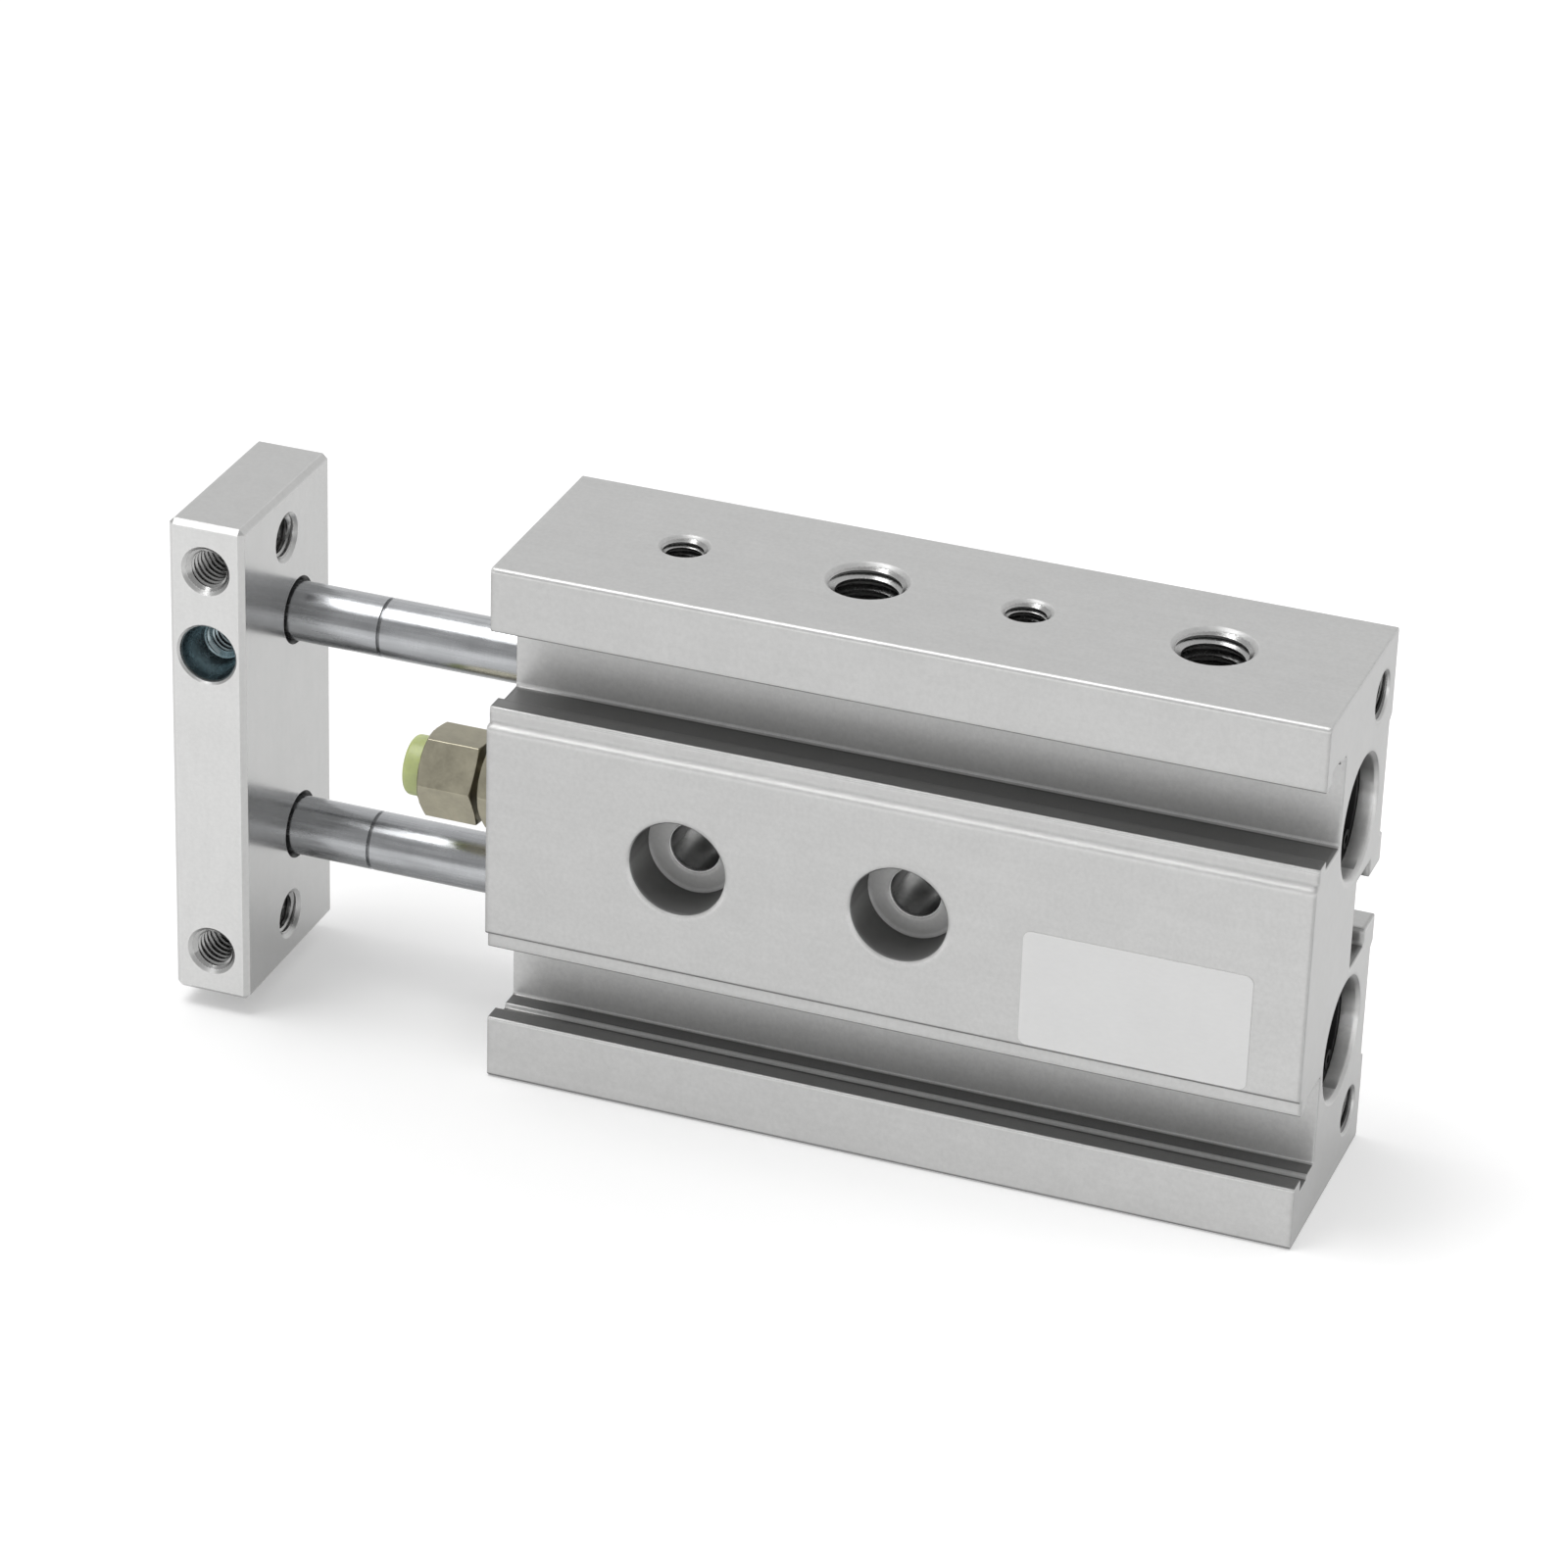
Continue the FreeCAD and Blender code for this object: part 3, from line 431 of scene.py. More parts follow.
    def bored(self, axis, mouth, reach, depth, inside):
        """A value of its own inside a hole, from its mouth to a depth, and one elsewhere."""
        column = self.within(self.around(axis, mouth), reach, 0.0)
        level = self.within(self.offset(axis, mouth["XYZ".index(axis)]), depth, 0.0)
        return self.spread(self.join(column, level, "MAXIMUM"), inside, 1.0, 0.0, 1.0)

    def inside_faces(self, axis, front, back, middle_z, height, inside):
        """A value of its own on faces square to an axis, between two planes across Y and near a height."""
        level = self.within(self.offset("Y", (front + back) / 2), (back - front) / 2, 0.0)
        level = self.join(level, self.within(self.offset("Z", middle_z), height, 0.0), "MAXIMUM")
        level = self.join(level, self.facing(axis, 1.0, 0.0), "MAXIMUM")
        return self.spread(level, inside, 1.0, 0.0, 1.0)

    def rough(self, value):
        """Drives the roughness."""
        self.links.new(value, self.shader.inputs["Roughness"])

    def metal(self, value):
        """Drives how much the surface mirrors as bare metal does."""
        self.links.new(value, self.shader.inputs["Metallic"])

    def rounded(self, radius):
        """Normals that shade edges as if rounded to a radius."""
        return self.node("ShaderNodeBevel", ("Radius", radius), samples=6).outputs["Normal"]

    def painted_upturn_highlight(self, normal, bright):
        """Painted highlight: a value that is bright where a normal leans a little up, and one where it is
        level or steep.
        """
        lean = self.node("ShaderNodeSeparateXYZ", ("Vector", normal)).outputs["Z"]
        start = self.spread(lean, 1.0, bright, 0.02, 0.12)
        end = self.spread(lean, bright, 1.0, 0.25, 0.6)
        return self.join(start, end, "MINIMUM")

    def bump(self, height, distance, strength=1.0, normal=None):
        """Raises the surface by a height map, over a distance in metres."""
        node = self.node("ShaderNodeBump", ("Height", height), ("Strength", strength),
                         ("Distance", distance))
        if normal:
            self.links.new(normal, node.inputs["Normal"])
        self.links.new(node.outputs["Normal"], self.shader.inputs["Normal"])


def anodised_finish(name, base, painted_shade_holes, painted_light_holes, bores, painted_shade_ledges, painted_light_faces, pad):
    """Blasted and anodised aluminium: a fine grey grain, painted highlights on its edges, painted light and
    shade in its holes and grooves, and painted shade on its end faces and under down-turned edges.

    Holes are rows for bored, bores the same without their value, and the level faces with painted shade and
    the upright faces with painted light are rows for inside_faces. The pad is its middle height, half its
    height and the radius of its edges.
    """
    metallic, end_metallic, matt_share = 0.86, 0.5, 0.35
    bore_mouth_light, dullness, polish = 1.3, 1.6, 0.4
    other_edge = 0.2 * MM
    made = Finish(name, base, metallic, 0.38)
    fine = made.grain((3.4, 3.4, 3.4), 2.0, 0.6)
    broad = made.grain((0.35, 0.35, 0.35), 2.0)
    drawn = made.grain((0.05, 1.6, 1.6), 2.0)
    pad_z, pad_height, pad_edge = pad
    beyond_pad = made.within(made.offset("Z", pad_z), pad_height, 0.0)
    soft = made.rounded(made.spread(beyond_pad, pad_edge, other_edge, 0.0, 1.0))
    # Painted light and shade: a painted highlight where the pad's rounded edges lean up, painted highlights
    # on all edges, and painted shade on the end faces across X, deep in hollows and under down-turned edges.
    tones = [made.painted_upturn_highlight(soft, 1.4), made.spread(fine, 0.95, 1.04), made.spread(broad, 0.98, 1.015),
             made.spread(drawn, 0.985, 1.015), made.edges(0.5 * MM, 1.0, 1.05), made.facing("X", 1.0, 0.86),
             made.painted_recess_shade(15 * MM, 0.35), made.painted_lower_edge_shade(0.4)]
    # Painted shade in the counterbores and rear taps, painted light in the pad's through holes.
    tones += [made.bored(*hole) for hole in painted_shade_holes + painted_light_holes]
    # Painted shade on the level faces in the grooves and slot, painted light on the grooves' upright floors
    # and on the counterbore seats.
    tones += [made.inside_faces(*face) for face in painted_shade_ledges + painted_light_faces]
    # Painted light in the rear bore mouths.
    tones += [made.bored(*bore, bore_mouth_light) for bore in bores]
    made.shade(*tones)
    rough = made.join(made.spread(fine, 0.34, 0.42), made.edges(0.5 * MM, 0.0, 0.4))
    dull = [made.bored(*bore, dullness) for bore in bores]
    dull += [made.bored(*hole[:-1], dullness) for hole in painted_shade_holes]
    dull += [made.bored(*hole[:-1], polish) for hole in painted_light_holes]
    made.rough(made.product(rough, *dull))
    matt = [made.inside_faces(*face[:-1], matt_share) for face in painted_light_faces]
    made.metal(made.product(made.facing("X", metallic, end_metallic), *matt))
    made.bump(fine, 0.002 * MM, 0.4, soft)
    return made.material


def milled_finish(name, base, rods, face_x, reach):
    """A milled and anodised plate: satin faces that mirror the rods, painted highlights on its edges,
    painted light on its faces across Y, and painted shade on its faces across X, in hollows and at the rod
    seats.
    """
    made = Finish(name, base, 0.88, 0.30)
    fine = made.grain((3.4, 3.4, 3.4), 2.0, 0.6)
    broad = made.grain((0.4, 0.4, 0.4), 2.0)
    drawn = made.grain((1.6, 1.6, 0.22), 2.0)
    depth = made.offset("X", face_x)
    # Painted shade where the rods go into their seats.
    seats = [made.within(made.join(made.around("X", rod), depth, "MAXIMUM"), reach, 0.08) for rod in rods]
    # Painted highlights on the edges, painted light on faces across Y, painted shade on faces across X and
    # deep in hollows.
    made.shade(made.spread(fine, 0.97, 1.03), made.spread(broad, 0.985, 1.015),
               made.spread(drawn, 0.985, 1.015), made.edges(0.22 * MM, 1.0, 1.25),
               made.facing("Y", 1.0, 1.2), made.facing("X", 1.0, 0.88), made.painted_recess_shade(15 * MM, 0.35), *seats)
    polish = made.facing("X", 0.0, -0.12)
    made.rough(made.join(made.join(made.spread(fine, 0.29, 0.34), polish), made.edges(0.22 * MM, 0.0, 0.3)))
    made.bump(fine, 0.001 * MM, 0.4)
    return made.material


def tapped_finish(name, base):
    """Metal cut by a tap: painted highlights on its crests, painted shade on its flanks and deeper in the
    hole.
    """
    made = Finish(name, base, 1.0, 0.22)
    fine = made.grain((9.0, 9.0, 9.0))
    # Painted highlights on the crests, painted shade on the flanks and deep in the hole.
    made.shade(made.spread(fine, 0.90, 1.05), made.edges(0.06 * MM, 0.8, 1.25),
               made.painted_recess_shade(8 * MM, 0.25, 0.04, 0.3))
    made.rough(made.spread(fine, 0.18, 0.28))
    made.bump(fine, 0.003 * MM, 0.5)
    return made.material


def ground_finish(name, base, mark_x, mark_width):
    """Hard chrome, ground round and hazy, with a dark ring mark and painted shade on its underside."""
    made = Finish(name, base, 1.0, 0.22)
    rings = made.grain((12.0, 0.5, 0.5), 2.0, 0.6)
    haze = made.grain((0.35, 0.9, 0.9), 3.0)
    drawn = made.grain((0.12, 3.0, 3.0), 2.0)
    mark = made.within(made.offset("X", mark_x), mark_width / 2, 0.42)
    # Painted shade on the rod's underside, where the normal turns down.
    made.shade(made.spread(rings, 0.97, 1.03), made.spread(haze, 0.88, 1.05),
               made.spread(drawn, 0.84, 1.09), made.rising(0.48, 1.0, -0.75, 0.05), mark)
    made.rough(made.join(made.spread(drawn, 0.20, 0.32), made.spread(haze, -0.04, 0.04)))
    made.bump(rings, 0.0008 * MM, 0.4)
    return made.material


def turned_finish(name, base, metallic=0.9, low=0.26, high=0.42):
    """A lathe-turned face or bore, with fine rings along X and a soft grain."""
    made = Finish(name, base, metallic, high)
    rings = made.grain((11.0, 0.3, 0.3), 4.0, 0.7)
    fine = made.grain((5.0, 5.0, 5.0))
    made.shade(made.spread(rings, 0.90, 1.06), made.spread(fine, 0.94, 1.05),
               made.edges(0.1 * MM, 1.0, 1.16))
    made.rough(made.join(made.spread(rings, low, high), made.spread(fine, -0.03, 0.03)))
    made.bump(rings, 0.003 * MM, 0.5)
    return made.material


def plated_finish(name, base, low, high, metallic=0.95, mottle=0.06):
    """Plated steel: a cloudy lustre with a soft grain and worn edges."""
    made = Finish(name, base, metallic, high)
    cloud = made.grain((0.8, 0.8, 0.8), 3.0)
    fine = made.grain((5.0, 5.0, 5.0), 3.0, 0.6)
    made.shade(made.spread(cloud, 1 - mottle, 1 + mottle), made.spread(fine, 0.95, 1.05),
               made.edges(0.10 * MM, 1.0, 1.4))
    made.rough(made.join(made.spread(cloud, low, high), made.spread(fine, -0.03, 0.03)))
    made.bump(fine, 0.003 * MM, 0.4)
    return made.material


def cup_finish(name, base, mouth, rim_y, tap):
    """Blue zinc: a cup with painted shade at its rim that pales to painted light towards its thread, and
    painted shade in the thread's roots.
    """
    made = Finish(name, base, 0.95, 0.26)
    cloud = made.grain((0.8, 0.8, 0.8), 3.0)
    fine = made.grain((5.0, 5.0, 5.0), 3.0, 0.6)
    depth = made.offset("Y", rim_y)
    # Painted shade at the cup's rim fading to painted light at its thread, and painted shade in the thread's
    # roots.
    made.shade(made.spread(cloud, 0.75, 1.25), made.spread(fine, 0.95, 1.05),
               made.spread(depth, 0.3, 1.5, 0.3 * MM, mouth.y - rim_y),
               made.bored("Y", mouth, tap + 0.02 * MM, 3 * MM, 0.1))
    made.rough(made.join(made.spread(cloud, 0.2, 0.32), made.spread(fine, -0.03, 0.03)))
    made.bump(fine, 0.003 * MM, 0.4)
    return made.material


def moulded_finish(name, base, roughness):
    """Moulded rubber or urethane with a dull fine skin."""
    made = Finish(name, base, 0.0, roughness)
    fine = made.grain((6.0, 6.0, 6.0), 3.0)
    cloud = made.grain((0.9, 0.9, 0.9), 2.0)
    made.shade(made.spread(fine, 0.85, 1.15), made.spread(cloud, 0.9, 1.1))
    made.rough(made.spread(fine, roughness - 0.08, roughness + 0.08))
    made.bump(fine, 0.008 * MM, 0.5)
    return made.material


def urethane_finish(name, base):
    """Clear pale urethane that light soaks into."""
    made = Finish(name, base, 0.0, 0.34)
    cloud = made.grain((0.7, 0.7, 0.7), 2.0)
    fine = made.grain((6.0, 6.0, 6.0), 2.0)
    made.shade(made.spread(cloud, 0.93, 1.06), made.spread(fine, 0.97, 1.03))
    made.rough(made.spread(fine, 0.28, 0.42))
    made.bump(fine, 0.004 * MM, 0.4)
    made.socket("Subsurface Weight", 0.55)
    made.socket("Subsurface Radius", (1.0, 1.0, 0.4))
    made.socket("Subsurface Scale", 0.9 * MM)
    made.socket("Specular IOR Level", 0.45)
    return made.material


def label_finish(name, base):
    """White film label with a faint fibre and a satin face."""
    made = Finish(name, base, 0.0, 0.42)
    fibre = made.grain((2.2, 2.2, 5.0), 4.0, 0.6)
    cloud = made.grain((0.25, 0.25, 0.25), 2.0)
    made.shade(made.spread(fibre, 0.985, 1.01), made.spread(cloud, 0.985, 1.01))
    made.rough(made.spread(fibre, 0.38, 0.48))
    made.bump(made.join(fibre, cloud), 0.006 * MM, 0.25)
    return made.material


# Threads

def thread_ridge(name, radius, pitch, depth, chamfer):
    """The ridge of a tapped hole that runs down from a mouth at the origin, cut by the mouth's chamfer."""
    bite = 0.03 * MM
    crest = 0.5413 * pitch
    root_width, crest_width = 0.86 * pitch, 0.25 * pitch
    clear_selection()
    bpy.ops.mesh.primitive_plane_add(size=1.0, location=(0, 0, 0))
    piece = named(name)
    piece.rotation_euler = (math.radians(90), 0, 0)
    piece.scale = (crest + bite, root_width, 1)
    piece.location = (radius + bite - (crest + bite) / 2, 0, -depth)
    apply_place(piece)
    edit(piece)
    pick(piece, "vertices", lambda vertex: vertex.co.x < radius - crest / 2)
    bpy.ops.transform.resize(value=(1, 1, crest_width / root_width),
                             center_override=(radius - crest, 0, -depth))
    bpy.ops.mesh.select_all(action="SELECT")
    bpy.ops.mesh.delete(type="ONLY_FACE")
    bpy.ops.object.mode_set(mode="OBJECT")
    turns = math.ceil(depth / pitch)
    apply_modifier(piece, "SCREW", axis="Z", angle=math.tau, screw_offset=pitch, iterations=turns,
                   steps=30, render_steps=30, use_smooth_shade=False)
    edit(piece)
    bpy.ops.mesh.fill_holes(sides=0)
    bpy.ops.object.mode_set(mode="OBJECT")
    outward(piece)
    clear_selection()
    reach = radius + chamfer
    bpy.ops.mesh.primitive_cone_add(vertices=48, radius1=0.0, radius2=2 * reach, depth=2 * reach,
                                    location=(0, 0, 0))
    cutter = named(name + "_cutter")
    apply_place(cutter)
    apply_modifier(piece, "BOOLEAN", operation="DIFFERENCE", object=cutter, solver="EXACT")
    take(cutter)
    bpy.ops.object.delete()
    edit(piece)
    bpy.ops.mesh.remove_doubles(threshold=FINE_MERGE)
    bpy.ops.object.mode_set(mode="OBJECT")
    outward(piece)
    smooth(piece, 25.0)
    return piece


def place_threads(pattern, name, mouths, inward, body, material):
    """Copies a thread to each mouth of a group of like holes."""
    for number, mouth in enumerate(mouths, 1):
        take(pattern)
        bpy.ops.object.duplicate()
        piece = named(f"{name}_{number}")
        piece.rotation_mode = "QUATERNION"
        piece.rotation_quaternion = (-Z_AXIS).rotation_difference(inward)
        piece.location = mouth
        apply_place(piece)
        piece.rotation_mode = "XYZ"
        seat(piece, body, material)


def pair(mount, along):
    """The two mouths of a bolt pattern, on either side of its middle."""
    middle = Vector(MOUNTS[mount]["pos_m"])
    dims = MOUNTS[mount]["dims"]
    half = (dims.get("spacing_x_mm") or dims.get("spacing_y_mm")) * MM / 2
    return [middle - along * half, middle + along * half]


def clamp_mouth(sizes):
    """The mouth of the clamp screw's inner thread, at the bottom of its cup."""
    middle = (CLAMP_LOW + CLAMP_HIGH) / 2
    return Vector((middle.x, CLAMP_LOW.y + sizes.clamp_cup, middle.z))


# Operators

class CYLINDER_OT_barrel(bpy.types.Operator):
    """Gives the extruded barrel its broken edges and anodised finish"""

    bl_idname = "cylinder.barrel"
    bl_label = "Barrel"

    def execute(self, context):
        colours, sizes = context.scene.cylinder_colours, context.scene.cylinder_sizes
        piece = edged_copy("barrel", "barrel_body", sizes.edge_break)
        front, back = BARREL_LOW.y, BARREL_HIGH.y
        middle_z = (BARREL_LOW.z + BARREL_HIGH.z) / 2
        finish = anodised_finish(
            "barrel_anodised", colours.anodised, *self.holes(sizes, front), self.bores(sizes),
            self.painted_shade_ledges(front, back, middle_z), self.painted_light_faces(front, middle_z),
            (middle_z, sizes.pad_half, sizes.pad_edge))
        seat(piece, "barrel", finish)
        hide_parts("barrel")
        return {"FINISHED"}

    def holes(self, sizes, front):
        """The holes that get painted shade, then those that get painted light."""
        counterbore_depth, tap_depth, bolt_depth = 10 * MM, 7 * MM, 10.5 * MM
        # Shares of painted shade in the counterbores and rear taps, and of painted light in the through
        # holes.
        counterbore_shade, tap_shade, bolt_light = 0.52, 0.42, 2.4
        pad_mouths = [Vector((mouth.x, front, mouth.z)) for mouth in pair("pad_bolts", X_AXIS)]
        dark = [("Y", mouth, sizes.pad_bore, counterbore_depth, counterbore_shade) for mouth in pad_mouths]
        dark += [("X", mouth, sizes.rear_tap, tap_depth, tap_shade) for mouth in pair("rear_taps", Z_AXIS)]
        bright = [("Y", mouth, sizes.pad_bolt, bolt_depth, bolt_light) for mouth in pad_mouths]
        return dark, bright

    def bores(self, sizes):
        """The rear mouths of the two bores, which get painted light."""
        depth = 2 * MM
        middles = [(low + high) / 2 for low, high in ROD_BOXES.values()]
        mouths = [Vector((BARREL_HIGH.x, middle.y, middle.z)) for middle in middles]
        return [("X", mouth, sizes.rear_bore, depth) for mouth in mouths]

    def painted_shade_ledges(self, front, back, middle_z):
        """The level faces in the sensor grooves and in the slot at the back, which get painted shade."""
        lip, floor = front + 0.65 * MM, front + 5.1 * MM
        groove_z, groove_half, groove_shade = 11.4 * MM, 4.5 * MM, 0.42
        slot_floor, slot_lip = back - 5.8 * MM, back - 2.5 * MM
        slot_half, slot_shade = 15.5 * MM, 0.6
        found = [("Z", lip, floor, middle_z + side * groove_z, groove_half, groove_shade) for side in (-1, 1)]
        return found + [("Z", slot_floor, slot_lip, middle_z, slot_half, slot_shade)]

    def painted_light_faces(self, front, middle_z):
        """The upright faces that get painted light: the floors of the sensor grooves and the seats of the
        counterbores.
        """
        floor_front, floor_back = front + 4.7 * MM, front + 5.1 * MM
        floor_half, floor_light = 15.5 * MM, 1.36
        seat_front, seat_back = front + 3.2 * MM, front + 3.4 * MM
        seat_half, seat_light = 3.5 * MM, 2.3
        return [("Y", floor_front, floor_back, middle_z, floor_half, floor_light),
                ("Y", seat_front, seat_back, middle_z, seat_half, seat_light)]


class CYLINDER_OT_end_plate(bpy.types.Operator):
    """Gives the end plate its broken edges and anodised finish"""

    bl_idname = "cylinder.end_plate"
    bl_label = "End plate"

    def execute(self, context):
        colours, sizes = context.scene.cylinder_colours, context.scene.cylinder_sizes
        piece = edged_copy("end_plate", "end_plate_body", sizes.edge_break)
        rods = [(low + high) / 2 for low, high in ROD_BOXES.values()]
        finish = milled_finish("plate_anodised", colours.plate, rods, PLATE_HIGH.x, sizes.rod_seat)
        seat(piece, "carriage", finish)
        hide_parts("end_plate")
        return {"FINISHED"}


class CYLINDER_OT_threads(bpy.types.Operator):
    """Cuts the threads of the tapped holes and ports"""

    bl_idname = "cylinder.threads"
    bl_label = "Threads"

    def execute(self, context):
        colours, sizes = context.scene.cylinder_colours, context.scene.cylinder_sizes
        bright = tapped_finish("barrel_tapped", colours.anodised)
        # The rear taps get a copy of the tapped finish darkened as painted shade.
        rear_shade = 0.45
        dark = tapped_finish("rear_tapped", [value * rear_shade for value in colours.anodised])
        plate = tapped_finish("plate_tapped", colours.plate)
        zinc = tapped_finish("clamp_thread_zinc", colours.zinc)
        ports = [Vector((*MOUNTS[name]["pos_m"][:2], BARREL_HIGH.z)) for name in ("front_port", "rear_port")]
        outer = pair("plate_end_taps", Z_AXIS)
        inner = [Vector((PLATE_HIGH.x, mouth.y, mouth.z)) for mouth in outer]
        front = pair("plate_front_taps", Z_AXIS)
        back = [Vector((mouth.x, PLATE_HIGH.y, mouth.z)) for mouth in front]
        side_tap = (M3_RADIUS, sizes.m3_pitch, sizes.side_tap_depth, sizes.m3_chamfer)
        rear_tap = (M3_RADIUS, sizes.m3_pitch, sizes.rear_tap_depth, sizes.m3_chamfer)
        port = (M5_RADIUS, sizes.m5_pitch, sizes.port_depth, sizes.m5_chamfer)
        plate_end = (M3_RADIUS, sizes.m3_pitch, sizes.plate_end_depth, sizes.plate_chamfer)
        plate_edge = (M3_RADIUS, sizes.m3_pitch, sizes.plate_edge_depth, sizes.plate_chamfer)
        clamp = (sizes.clamp_tap, sizes.clamp_pitch, sizes.clamp_tap_depth, sizes.clamp_chamfer)
        groups = (
            (side_tap, "barrel", bright, "anodised_aluminium",
             (("thread_top_tap", pair("top_taps", X_AXIS), -Z_AXIS),
              ("thread_base_tap", pair("base_taps", X_AXIS), Z_AXIS))),
            (rear_tap, "barrel", dark, "anodised_aluminium",
             (("thread_rear_tap", pair("rear_taps", Z_AXIS), -X_AXIS),)),
            (port, "barrel", bright, "anodised_aluminium", (("thread_port", ports, -Z_AXIS),)),
            (plate_end, "carriage", plate, "plate_aluminium",
             (("thread_plate_outer", outer, X_AXIS), ("thread_plate_inner", inner, -X_AXIS))),
            (plate_edge, "carriage", plate, "plate_aluminium",
             (("thread_plate_front", front, Y_AXIS), ("thread_plate_back", back, -Y_AXIS))),
            (clamp, "carriage", zinc, "zinc_steel",
             (("thread_clamp_screw", [clamp_mouth(sizes)], Y_AXIS),)),
        )
        for shape, body, material, slot, rows in groups:
            pattern = thread_ridge("thread_pattern", *shape)
            for name, mouths, inward in rows:
                place_threads(pattern, name, mouths, inward, body, material)
            take(pattern)
            bpy.ops.object.delete()
        return {"FINISHED"}


class CYLINDER_OT_rods(bpy.types.Operator):
    """Chromes the two piston rods"""

    bl_idname = "cylinder.rods"
    bl_label = "Piston rods"

    def execute(self, context):
        colours, sizes = context.scene.cylinder_colours, context.scene.cylinder_sizes
        for side, mark in (("upper", sizes.upper_mark), ("lower", sizes.lower_mark)):
            chrome = ground_finish(f"rod_chrome_{side}", colours.rod, PLATE_HIGH.x + mark, sizes.mark_width)
            paint(chrome, f"piston_rod_{side}")
        return {"FINISHED"}


class CYLINDER_OT_stopper(bpy.types.Operator):
    """Makes the stopper bolt, its lock nut and its bumper"""

    bl_idname = "cylinder.stopper"
    bl_label = "Stopper"

    def execute(self, context):
        colours, sizes = context.scene.cylinder_colours, context.scene.cylinder_sizes
        nickel = plated_finish("stopper_nickel", colours.nickel, 0.34, 0.42, mottle=0.12)
        bolt = edged_copy("stopper_bolt", "stopper_bolt_body", sizes.edge_break, 40.0)
        seat(bolt, "stopper", nickel)
        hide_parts("stopper_bolt")
        nut = edged_copy("stopper_lock_nut", "stopper_lock_nut_body", sizes.edge_break, 40.0)
        seat(nut, "barrel", nickel)
        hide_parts("stopper_lock_nut")
        self.bumper(colours)
        return {"FINISHED"}

    def bumper(self, colours):
        """A turned disc with a rounded face, in place of the plain one."""
        radius = (BUMPER_HIGH.y - BUMPER_LOW.y) / 2
        depth = BUMPER_HIGH.x - BUMPER_LOW.x
        clear_selection()
        bpy.ops.mesh.primitive_cylinder_add(
            vertices=72, radius=radius, depth=depth, location=(BUMPER_LOW + BUMPER_HIGH) / 2,
            rotation=(0, math.radians(90), 0))
        piece = named("stopper_bumper_disc")
        apply_place(piece)
        edit(piece, mode="FACE")
        rounding, inset = 0.3 * MM, 0.5 * MM
        front = BUMPER_LOW.x + MERGE
        pick(piece, "polygons", lambda face: face.center.x < front)
        bpy.ops.mesh.bevel(offset=rounding, offset_type="OFFSET", segments=6, profile=0.5)
        pick(piece, "polygons", lambda face: face.center.x < front and abs(face.normal.x) > 0.99)
        bpy.ops.mesh.inset(thickness=inset)
        bpy.ops.object.mode_set(mode="OBJECT")
        outward(piece)
        smooth(piece, 40.0)
        seat(piece, "bumper", urethane_finish("bumper_urethane", colours.bumper))
        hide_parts("stopper_bumper")


class CYLINDER_OT_screws(bpy.types.Operator):
    """Finishes the clamp screw and the rod end screw"""

    bl_idname = "cylinder.screws"
    bl_label = "Screws"

    def execute(self, context):
        colours, sizes = context.scene.cylinder_colours, context.scene.cylinder_sizes
        zinc = cup_finish("clamp_zinc", colours.zinc, clamp_mouth(sizes), CLAMP_LOW.y, sizes.clamp_tap)
        paint(zinc, "rod_clamp_screw")
        paint(plated_finish("end_screw_black", colours.black, 0.35, 0.5, 0.3), "rod_end_screw")
        return {"FINISHED"}


class CYLINDER_OT_inner_pieces(bpy.types.Operator):
    """Finishes the covers, seals, rings, pistons, magnets and nuts"""

    bl_idname = "cylinder.inner_pieces"
    bl_label = "Inner pieces"

    def execute(self, context):
        colours = context.scene.cylinder_colours
        sets = (
            (turned_finish("cover_turned", colours.cover), ("rod_cover", "head_cover", "piston")),
            (plated_finish("ring_phosphate", colours.spring, 0.4, 0.55, 0.7),
             ("front_retaining_ring", "rear_retaining_ring")),
            (turned_finish("washer_steel", colours.washer), ("seal_washer", "piston_nut")),
            (turned_finish("bush_bronze", colours.bronze), ("rod_bush",)),
            (moulded_finish("seal_nitrile", colours.rubber, 0.55),
             ("rod_seal", "piston_seal", "rod_cover_oring", "head_cover_oring")),
            (moulded_finish("damper_amber", colours.damper, 0.4), ("piston_damper",)),
            (turned_finish("magnet_sintered", colours.magnet, 0.4, 0.4, 0.6), ("piston_magnet",)),
        )
        for material, names in sets:
            paint(material, *(f"{name}_{side}" for name in names for side in SIDES))
        return {"FINISHED"}


class CYLINDER_OT_label(bpy.types.Operator):
    """Sticks the blank label on the pad"""

    bl_idname = "cylinder.label"
    bl_label = "Label"

    def execute(self, context):
        colours, sizes = context.scene.cylinder_colours, context.scene.cylinder_sizes
        right = BARREL_HIGH.x - sizes.label_right
        middle_z = sizes.label_low + sizes.label_height / 2
        middle = Vector((right - sizes.label_length / 2, BARREL_LOW.y, middle_z))
        clear_selection()
        bpy.ops.mesh.primitive_plane_add(size=1.0, location=middle, rotation=(math.radians(90), 0, 0))
        piece = named("label_blank")
        piece.scale = (sizes.label_length, sizes.label_height, 1)
        apply_place(piece)
        edit(piece)
        bpy.ops.mesh.bevel(offset=sizes.label_corner, offset_type="OFFSET", segments=8, affect="VERTICES")
        bpy.ops.object.mode_set(mode="OBJECT")
        apply_modifier(piece, "SOLIDIFY", thickness=sizes.label_thickness, offset=1.0)
        outward(piece)
        smooth(piece, 30.0)
        seat(piece, "barrel", label_finish("label_white", colours.label))
        return {"FINISHED"}


